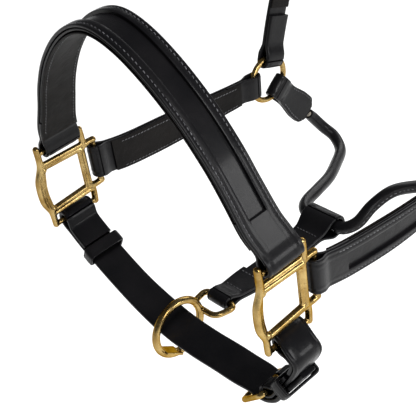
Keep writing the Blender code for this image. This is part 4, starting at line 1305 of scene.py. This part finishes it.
eye_half = RING_WIDTH / 2 + 4.5 * MM
eye_front = barrel_end + 3.2 * MM
eye_corners = [snap_at(eye_bar, 0, -eye_half), snap_at(eye_bar, 0, eye_half),
               snap_at(eye_front, 0, eye_half * 0.85), snap_at(eye_front, 0, -eye_half * 0.85)]
eye_loop = tube("eye", corner_path(eye_corners, 4.5 * MM, 10), 2.0 * MM, closed=True, sides=6)
stem = rod(snap_at(chamber_end - 1 * MM), snap_at(barrel_end + 4 * MM), 1.75 * MM)
stem_head = rod(snap_at(chamber_end - GAP - 1.6 * MM), snap_at(chamber_end - GAP), 2.4 * MM)
casting("swivel_eye_cast", fused([eye_loop, stem, stem_head], 0.35 * MM, 3), "snap_swivel_eye")

spring_start = bolt_back + 0.8 * MM
spring_end = chamber_end - 2 * GAP - 2.1 * MM
coil = []
for k in range(5 * 20 + 1):
    turn = math.tau * k / 20
    along = spring_start + (spring_end - spring_start) * k / 100
    coil.append(snap_at(along, 1.8 * MM * math.cos(turn), 1.8 * MM * math.sin(turn)))
spring = finished("bolt_spring", tube("spring", coil, 0.35 * MM, sides=3),
                  [steel_finish.material], "snap_spring", "snap")
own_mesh(spring)


# ---- floor, light and camera ----

def area_light(name, place, size, power):
    data = bpy.data.lights.new(name, "AREA")
    data.shape = "RECTANGLE"
    data.size, data.size_y = size
    data.energy = power
    lamp = linked(name, data)
    lamp.location = place
    lamp.rotation_euler = (CENTRE - Vector(place)).to_track_quat("-Z", "Y").to_euler()


CENTRE = Vector((0.0, -0.17, -0.2))
FLOOR_Z = -0.62
bpy.ops.mesh.primitive_plane_add(size=60.0, location=(0, 0, FLOOR_Z))
floor = bpy.context.active_object
floor.name = "studio_floor"
floor.data.materials.append(paper_finish.material)

world = bpy.data.worlds.new("studio")
bpy.context.scene.world = world
world.use_nodes = True
background = world.node_tree.nodes["Background"]
background.inputs["Color"].default_value = (0.93, 0.96, 1.0, 1.0)
background.inputs["Strength"].default_value = 0.12

area_light("key_softbox", (0.95, -0.35, 0.30), (0.26, 0.75), 9.0)
area_light("rear_softbox", (-0.35, 0.95, 0.30), (1.2, 0.5), 6.0)
area_light("sheen_softbox", (0.88, 0.24, -0.02), (0.28, 0.26), 2.4)
sky = bpy.data.lights.new("ceiling", "SUN")
sky.energy = 3.1
sky.angle = math.radians(25)
ceiling = linked("ceiling", sky)
ceiling.rotation_euler = (math.radians(-12), math.radians(10), 0)
ceiling.visible_glossy = False

camera_data = bpy.data.cameras.new("camera")
camera_data.sensor_width = 36.0
camera_data.lens = 90.9
camera_data.clip_start = 0.02
camera_data.clip_end = 20.0
camera = linked("camera", camera_data)
cam_right = Vector((0.694, 0.716, -0.076)).normalized()
cam_back = Vector((0.625, -0.546, 0.557))
cam_back = (cam_back - cam_right * cam_back.dot(cam_right)).normalized()
cam_up = cam_back.cross(cam_right)
place = Matrix((cam_right, cam_up, cam_back)).transposed().to_4x4()
camera.matrix_world = Matrix.Translation((0.4209, -0.5813, 0.1552)) @ place
bpy.context.scene.camera = camera
bpy.context.scene.view_settings.view_transform = "Standard"
